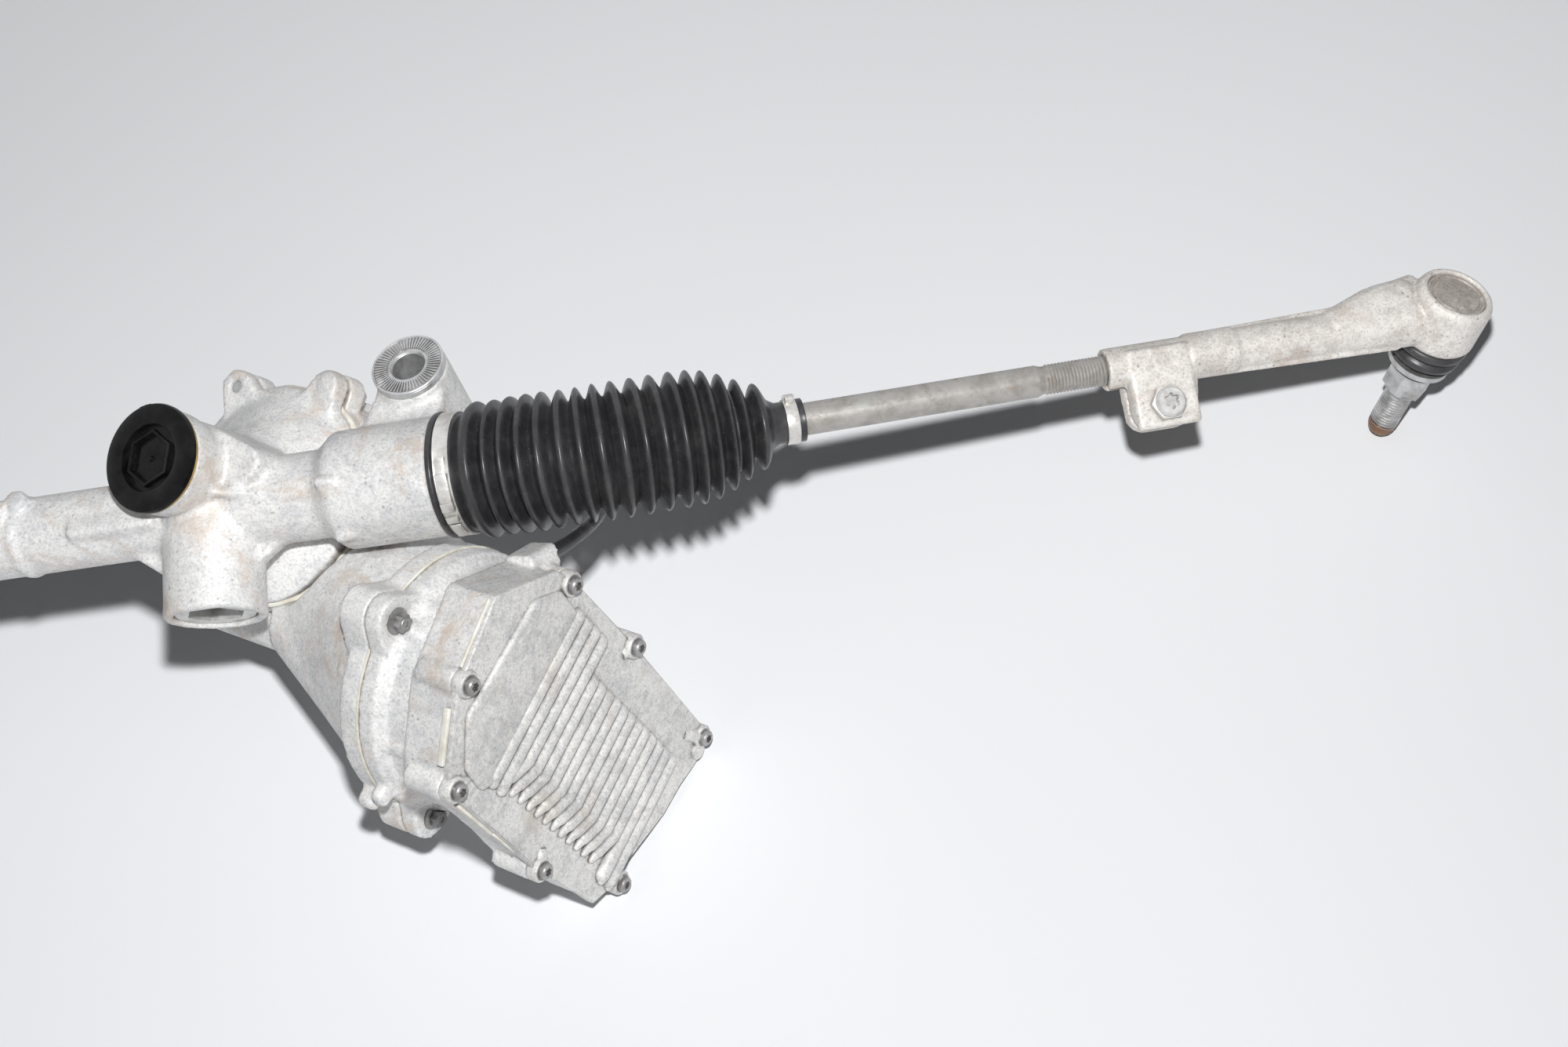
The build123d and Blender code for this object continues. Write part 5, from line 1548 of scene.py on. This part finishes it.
@dataclass
class Bellows:
    """Rubber bellows from the housing's collar to the tie rod, drawn in runs between seams."""

    side: Side
    wall: float = 1.3
    groove_r: float = 26.0
    bend_half: float = 24.0
    cuff_lip: Outline = (
        (28.9, -65.0), (30.4, -64.2), (30.6, -62.6), (30.2, -61.9), (28.9, -61.6), (28.9, -53.6),
    )
    first_groove: tuple[float, float] = (-52.0, 27.4)
    crest_at: tuple[float, ...] = (
        -44.2, -35.8, -27.9, -20.0, -12.4, -3.7, 4.2, 12.3, 21.0, 30.4, 39.6, 49.0, 57.1,
        64.3, 72.2, 79.6, 88.2,
    )
    crest_r: tuple[float, ...] = (
        32.8, 32.4, 32.8, 32.8, 32.8, 32.4, 32.4, 32.8, 32.8, 32.8, 32.8, 32.8, 32.4,
        31.1, 28.2, 24.5, 21.0,
    )
    full_crest_r: float = 32.4
    last_groove: tuple[float, float] = (94.2, 11.9)
    small_lip: Outline = (
        (11.9, 94.2), (10.6, 96.4), (10.1, 97.5), (10.1, 99.8), (9.95, 100.6), (9.95, 107.4), (10.5, 108.2),
        (10.5, 110.2),
    )
    slide_seams: tuple[float, ...] = (-52.0, -40.0, -31.85, -23.95, 8.25, 16.65, 25.7, 35.0)
    slide_shares: tuple[float, ...] = (0.0, 0.095, 0.193, 0.294, 0.719, 0.825, 0.93, 1.0)
    droop_end: float = 53.05
    sweep_end: float = 75.9

    def groove_between(self, index: int) -> tuple[float, float]:
        """Place and radius of the groove before the crest of this index."""
        if index == 0:
            return self.first_groove
        if index == len(self.crest_at):
            return self.last_groove
        spot = (self.crest_at[index - 1] + self.crest_at[index]) / 2
        drop = min(self.crest_r[index - 1], self.crest_r[index]) - self.full_crest_r
        return spot, self.groove_r + min(0.0, drop)

    def outline(self) -> list[tuple[float, float]]:
        """Outer line from cuff to tie rod, as (radius, distance) points."""
        points = list(self.cuff_lip)
        steps = 6
        for index, (spot, radius) in enumerate(zip(self.crest_at, self.crest_r)):
            before = self.groove_between(index)
            after = self.groove_between(index + 1)
            for low, high, rising in ((before, (spot, radius), True), (after, (spot, radius), False)):
                for step in range(steps) if rising else range(steps, 0, -1):
                    share = step / steps
                    swell = (0.5 - 0.5 * math.cos(math.pi * share)) ** 0.82
                    level = low[0] + (high[0] - low[0]) * share
                    points.append((low[1] + (high[1] - low[1]) * swell, level))
        return points + list(self.small_lip)

    def place_on_path(self, spot: Vector) -> Vector:
        """Moves a point of the straight bellows onto the bent centre line.

        Args:
            spot: Point in millimetres, with z as the distance along the line from the ball.

        Returns:
            The point in millimetres from the inner ball, in the row's axes.
        """
        way, first, half, s = Vector(ROD.along), Vector(RACK.along), self.bend_half, spot.z
        if s <= -half:
            centre, heading = first * s, first
        elif s >= half:
            centre, heading = way * s, way
        else:
            centre = (way * (half + s) ** 2 - first * (half - s) ** 2) / (4 * half)
            heading = (way * (half + s) + first * (half - s)).normalized()
        hinge = first.cross(way).normalized()
        return centre + hinge * spot.x + heading.cross(hinge) * spot.y

    def seam_outline(self, start: float, end: float) -> list[tuple[float, float]]:
        """Closed outline of the wall between two seams."""
        outer = [point for point in self.outline() if start - 0.01 <= point[1] <= end + 0.01]
        floor = 20.0 if start < 60 else 8.0
        inner = [(max(floor, radius - self.wall), level) for radius, level in reversed(outer)]
        inner = [(radius if level > -53 else 26.6, level) for radius, level in inner]
        inner = [(radius if level < 95 else 8.05, level) for radius, level in inner]
        return outer + inner

    def run(self, tag: str, start: float, end: float) -> bpy.types.Object:
        """Makes the wall between two seams as one piece that nothing carries yet."""
        bm = bmesh.new()
        lathe(bm, self.seam_outline(start, end), 72, True)
        for vert in bm.verts:
            vert.co = self.place_on_path(vert.co)
        place = self.side.turned(Matrix.Translation(ROD.origin) @ Matrix.Scale(MM, 4))
        return settle(bm, f"bellows_{self.side.value}_{tag}", place, RUBBER, None, 60)

    def along_path(self, s: float) -> Vector:
        """Point of the centre line in the row frame, on this side."""
        spot = self.place_on_path(Vector((0, 0, s))) * MM + Vector(ROD.origin)
        return self.side.turned(Matrix.Identity(4)) @ spot

    def build(self) -> None:
        """Makes the cuff, the folds, the two runs on the bend and the small end."""
        name = self.side.value
        cuff = self.run("cuff", -65.0, -52.0)
        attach(cuff, "housing")
        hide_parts(f"bellows_{name}")
        spans = list(zip(self.slide_seams, self.slide_seams[1:], self.slide_shares, self.slide_shares[1:]))
        for index, (start, end, low, high) in enumerate(spans):
            piece = self.run(f"fold_{index}", start, end)
            a, b = self.along_path(start), self.along_path(end)
            b.y, b.z = a.y, a.z
            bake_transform(piece)
        seams = (self.slide_seams[-1], self.droop_end, self.sweep_end)
        for index, tag in enumerate(("droop", "sweep")):
            start, end = seams[index:index + 2]
            piece = self.run(tag, start, end)
            self.along_path(start)
            self.along_path(end)
            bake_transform(piece)
        small = self.run("small_end", self.sweep_end, 110.3)
        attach(small, f"tie_rod_{name}")


@dataclass
class DustBoot:
    """Two-fold rubber boot between the head and the stud's flange."""

    side: Side
    wall: float = 1.6
    bore_r: float = 8.6
    top: float = -14.05
    upper: Outline = (
        (15.4, -14.05), (18.2, -14.05), (19.0, -15.2), (19.3, -16.8), (18.6, -18.6), (16.6, -19.8),
        (16.0, -20.2),
    )
    lower: Outline = (
        (16.0, -20.2), (16.4, -20.8), (18.0, -21.8), (18.4, -23.2), (17.8, -25.4), (15.0, -27.8),
        (11.0, -29.4), (9.9, -30.0),
    )

    def closed(self, outer: Outline) -> list[tuple[float, float]]:
        """The wall's outline: the outer line and the inner one back again."""
        inner = [
            (max(self.bore_r, radius - self.wall), min(self.top, level + 0.3))
            for radius, level in reversed(outer)
        ]
        inner[0] = (inner[0][0], outer[-1][1])
        inner[-1] = (inner[-1][0], outer[0][1])
        return [*outer, *inner]

    def build(self) -> None:
        """Makes the upper fold and the lower one."""
        name = self.side.value
        place = self.side.turned(HEAD.matrix())
        bodies = ((f"tie_rod_{name}", f"outer_cup_{name}"), (f"outer_cup_{name}", f"stud_{name}"))
        for tag, outer, (a, b) in (("upper", self.upper, bodies[0]), ("lower", self.lower, bodies[1])):
            bm = bmesh.new()
            lathe(bm, self.closed(outer), 56, True)
            piece = settle(bm, f"dust_boot_{name}_{tag}", place, RUBBER, None, 60)
            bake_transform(piece)
            if tag == "upper":
                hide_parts(f"dust_boot_{name}")


@dataclass
class BandClamp:
    """Stainless bands on the bellows cuffs with strap steps, buckles and holes."""

    low: float = 18.7
    high: float = 26.6
    radius: float = 28.95
    steps: tuple[tuple[float, float, float, float], ...] = (
        (142, 16, 5.6, 1.0), (158, 5, 6.4, 2.1), (172, 4, 6.0, 1.9),
        (120, 9, 4.6, 0.8), (190, 12, 5.2, 1.0),
    )
    holes: tuple[float, ...] = (146, 150, 154)

    def band(self, side: Side) -> Mesh:
        """Draws one band with its ear in the rack's seat."""
        bm = bmesh.new()
        low, high, r = self.low, self.high, self.radius
        middle = (low + high) / 2
        rim = [
            (r, low), (r + 0.55, low), (r + 0.95, low + 0.5), (r + 0.8, low + 1.1),
            (r + 0.75, high - 1.1), (r + 0.95, high - 0.5), (r + 0.55, high), (r, high),
        ]
        lathe(bm, rim, 96, True)
        for bearing, length, width, rise in self.steps:
            centre = (r + 0.6 + rise / 2, 0, middle)
            block(bm, (rise, length, width), centre, rounding=0.35, place=spun(bearing))
        for bearing in self.holes:
            place = spun(bearing) @ at(r + 1.2, 0, middle) @ Matrix.Rotation(math.pi / 2, 4, "Y")
            drum(bm, 0, 0.5, 1.4, 1.1, sides=16, place=place)
        bmesh.ops.transform(bm, matrix=side.turned(RACK.matrix()), verts=bm.verts)
        return bm

    def build(self) -> None:
        """Makes both bands as one piece."""
        both = self.band(Side.RIGHT)
        held = mesh_of(self.band(Side.LEFT), "band_left")
        both.from_mesh(held)
        bpy.data.meshes.remove(held)
        piece = settle(both, "cuff_bands", Matrix.Identity(4), STAINLESS, "housing", 30)
        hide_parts("band_clamps")


@dataclass
class SmallClamp:
    """Spring clamp on the small end of a bellows."""

    side: Side

    def build(self) -> None:
        """Makes the ring and its pinched ear."""
        bm = bmesh.new()
        rim = [(10.0, 101), (10.9, 101), (11.1, 101.6), (11.1, 106.4), (10.9, 107), (10.0, 107)]
        lathe(bm, rim, 56, True)
        for bearing, width in ((-62, 5.8), (-48, 4.6)):
            block(bm, (3.4, 1.6, width), (12.0, 0, 104), rounding=0.5, place=spun(bearing))
        block(bm, (1.3, 4.2, 4.6), (13.3, 0, 104), rounding=0.4, place=spun(-55))
        place = self.side.turned(ROD.matrix())
        name = f"small_clamp_{self.side.value}"
        body = f"tie_rod_{self.side.value}"
        piece = settle(bm, name + "_ring", place, STAINLESS, body, 30)
        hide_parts(name)


@dataclass
class BushRings:
    """Serrated faces of the mounting sleeves."""

    teeth: int = 60
    sleeve_r: float = 0.0183

    def build(self) -> None:
        """Lays a ring of fine radial ridges on each sleeve head."""
        low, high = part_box("mount_bushes")
        radius = self.sleeve_r
        bm = bmesh.new()
        for x in (high[0] - radius, low[0] + radius):
            stand = at(x, high[1] - radius, high[2]) @ Matrix.Scale(MM, 4)
            known = set(bm.verts)
            block(bm, (6.4, 0.62, 1.1), (13.7, 0, 0.25))
            fresh = newer(bm, known)
            geom = fresh + list({item for vert in fresh for item in vert.link_edges})
            geom += list({item for vert in fresh for item in vert.link_faces})
            bmesh.ops.spin(bm, geom=geom, **AXIS, angle=TURN, steps=self.teeth, use_duplicate=True)
            bmesh.ops.delete(bm, geom=fresh, context="VERTS")
            rim = [(17.0, -0.3), (18.3, -0.3), (18.3, 0.45), (17.9, 0.75), (17.2, 0.75), (17.0, 0.45)]
            lathe(bm, rim, 64, True)
            lathe(bm, [(8.4, -0.6), (10.2, -0.6), (10.2, 0.1), (8.9, 0.1)], 48, True)
            bmesh.ops.transform(bm, matrix=stand, verts=newer(bm, known))
        settle(bm, "bush_serrations", Matrix.Identity(4), ZINC, "housing", 25)


@dataclass
class SealantBeads:
    """Squeezed-out sealant along the joints of the housings."""

    foot_r: float = 56.5

    def build(self) -> None:
        """Makes the beads round the gear bowl, the motor flange and the electronics cover."""
        bm = bmesh.new()
        lathe(bm, [(56.2, -49.9), (57.4, -49.5), (57.6, -48.6), (57.2, -47.7), (56.2, -47.3)], 160, True)
        for vert in bm.verts:
            bearing = math.atan2(vert.co.y, vert.co.x)
            swell = 0.35 * math.sin(9 * bearing) + 0.25 * math.sin(23 * bearing + 1.3)
            length = math.hypot(vert.co.x, vert.co.y)
            if length > self.foot_r:
                vert.co.x *= (length + swell) / length
                vert.co.y *= (length + swell) / length
        settle(bm, "bowl_bead", PINION.matrix(), SEALANT, "housing", 60)
        bm = bmesh.new()
        lathe(bm, [(65.4, 111.6), (66.5, 111.4), (66.7, 112.0), (66.5, 112.6), (65.4, 112.4)], 120, True)
        settle(bm, "flange_bead", WORM.matrix(), SEALANT, "housing", 60)
        bm = bmesh.new()
        block(bm, (27, 2.4, 3.4), (42.4, -71.2, 190.3), turn=36, rounding=0.6)
        block(bm, (2.6, 34, 3.0), (62.6, -22, 190.2), turn=-1, rounding=0.6)
        block(bm, (2.4, 22, 2.2), (62.6, 8, 190.8), turn=-1, rounding=0.5)
        bar_between(bm, (-18, -91.4, 191.4), (14, -86.2, 191.4), 0.9)
        settle(bm, "cover_sealant", ECU.matrix(), SEALANT, "housing", 60)


@dataclass
class CarriedNodes:
    """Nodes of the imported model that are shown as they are, in their finishes."""

    def build(self) -> None:
        """Gives every node the finish of its slot."""
        for name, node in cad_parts.items():
            for slot in node.material_slots:
                key = slot.material.name.split(".")[0] if slot.material else ""
                finish = SLOT_FINISHES.get(key, CAST)
                slot.material = finish.material()
                LOG.info("%s: %s", name, finish.name)


def main() -> None:
    """Builds the studio, then every sub-assembly, whose pieces log their face counts."""
    logging.basicConfig(level=logging.INFO, format="%(name)s %(message)s")
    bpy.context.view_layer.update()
    Studio().build()
    SensorLead().build()
    CarriedNodes().build()
    castings = [
        RackHousing("rack_housing", "housing", CAST, "cast_aluminium", 0.0017, 3),
        GearHousing("gear_housing", "housing", CAST, "cast_aluminium", 0.0014, 4),
        MotorHousing("motor_housing", "housing", CAST, "cast_aluminium", 0.0014, 4),
        ElectronicsFrame("ecu_frame", "housing", CAST, "cast_aluminium", 0.0012, 3),
    ]
    for end in (side.value for side in Side):
        node, body = f"tie_rod_end_{end}", f"tie_rod_{end}"
        castings.append(TieRodEnd(node, body, FORGED, "forged_aluminium", 0.0009, 4))
    for casting in castings:
        casting.build()
    singles = (ElectronicsCover, PinionCap, CoverScrews, FlangeBolts, BandClamp, BushRings, SealantBeads)
    for kind in singles:
        kind().build()
    pairs = (Bellows, DustBoot, SmallClamp, HeadCap, ClampBolt, BallStud, RodThread)
    for side in Side:
        for kind in pairs:
            kind(side).build()


if __name__ == "__main__":
    main()
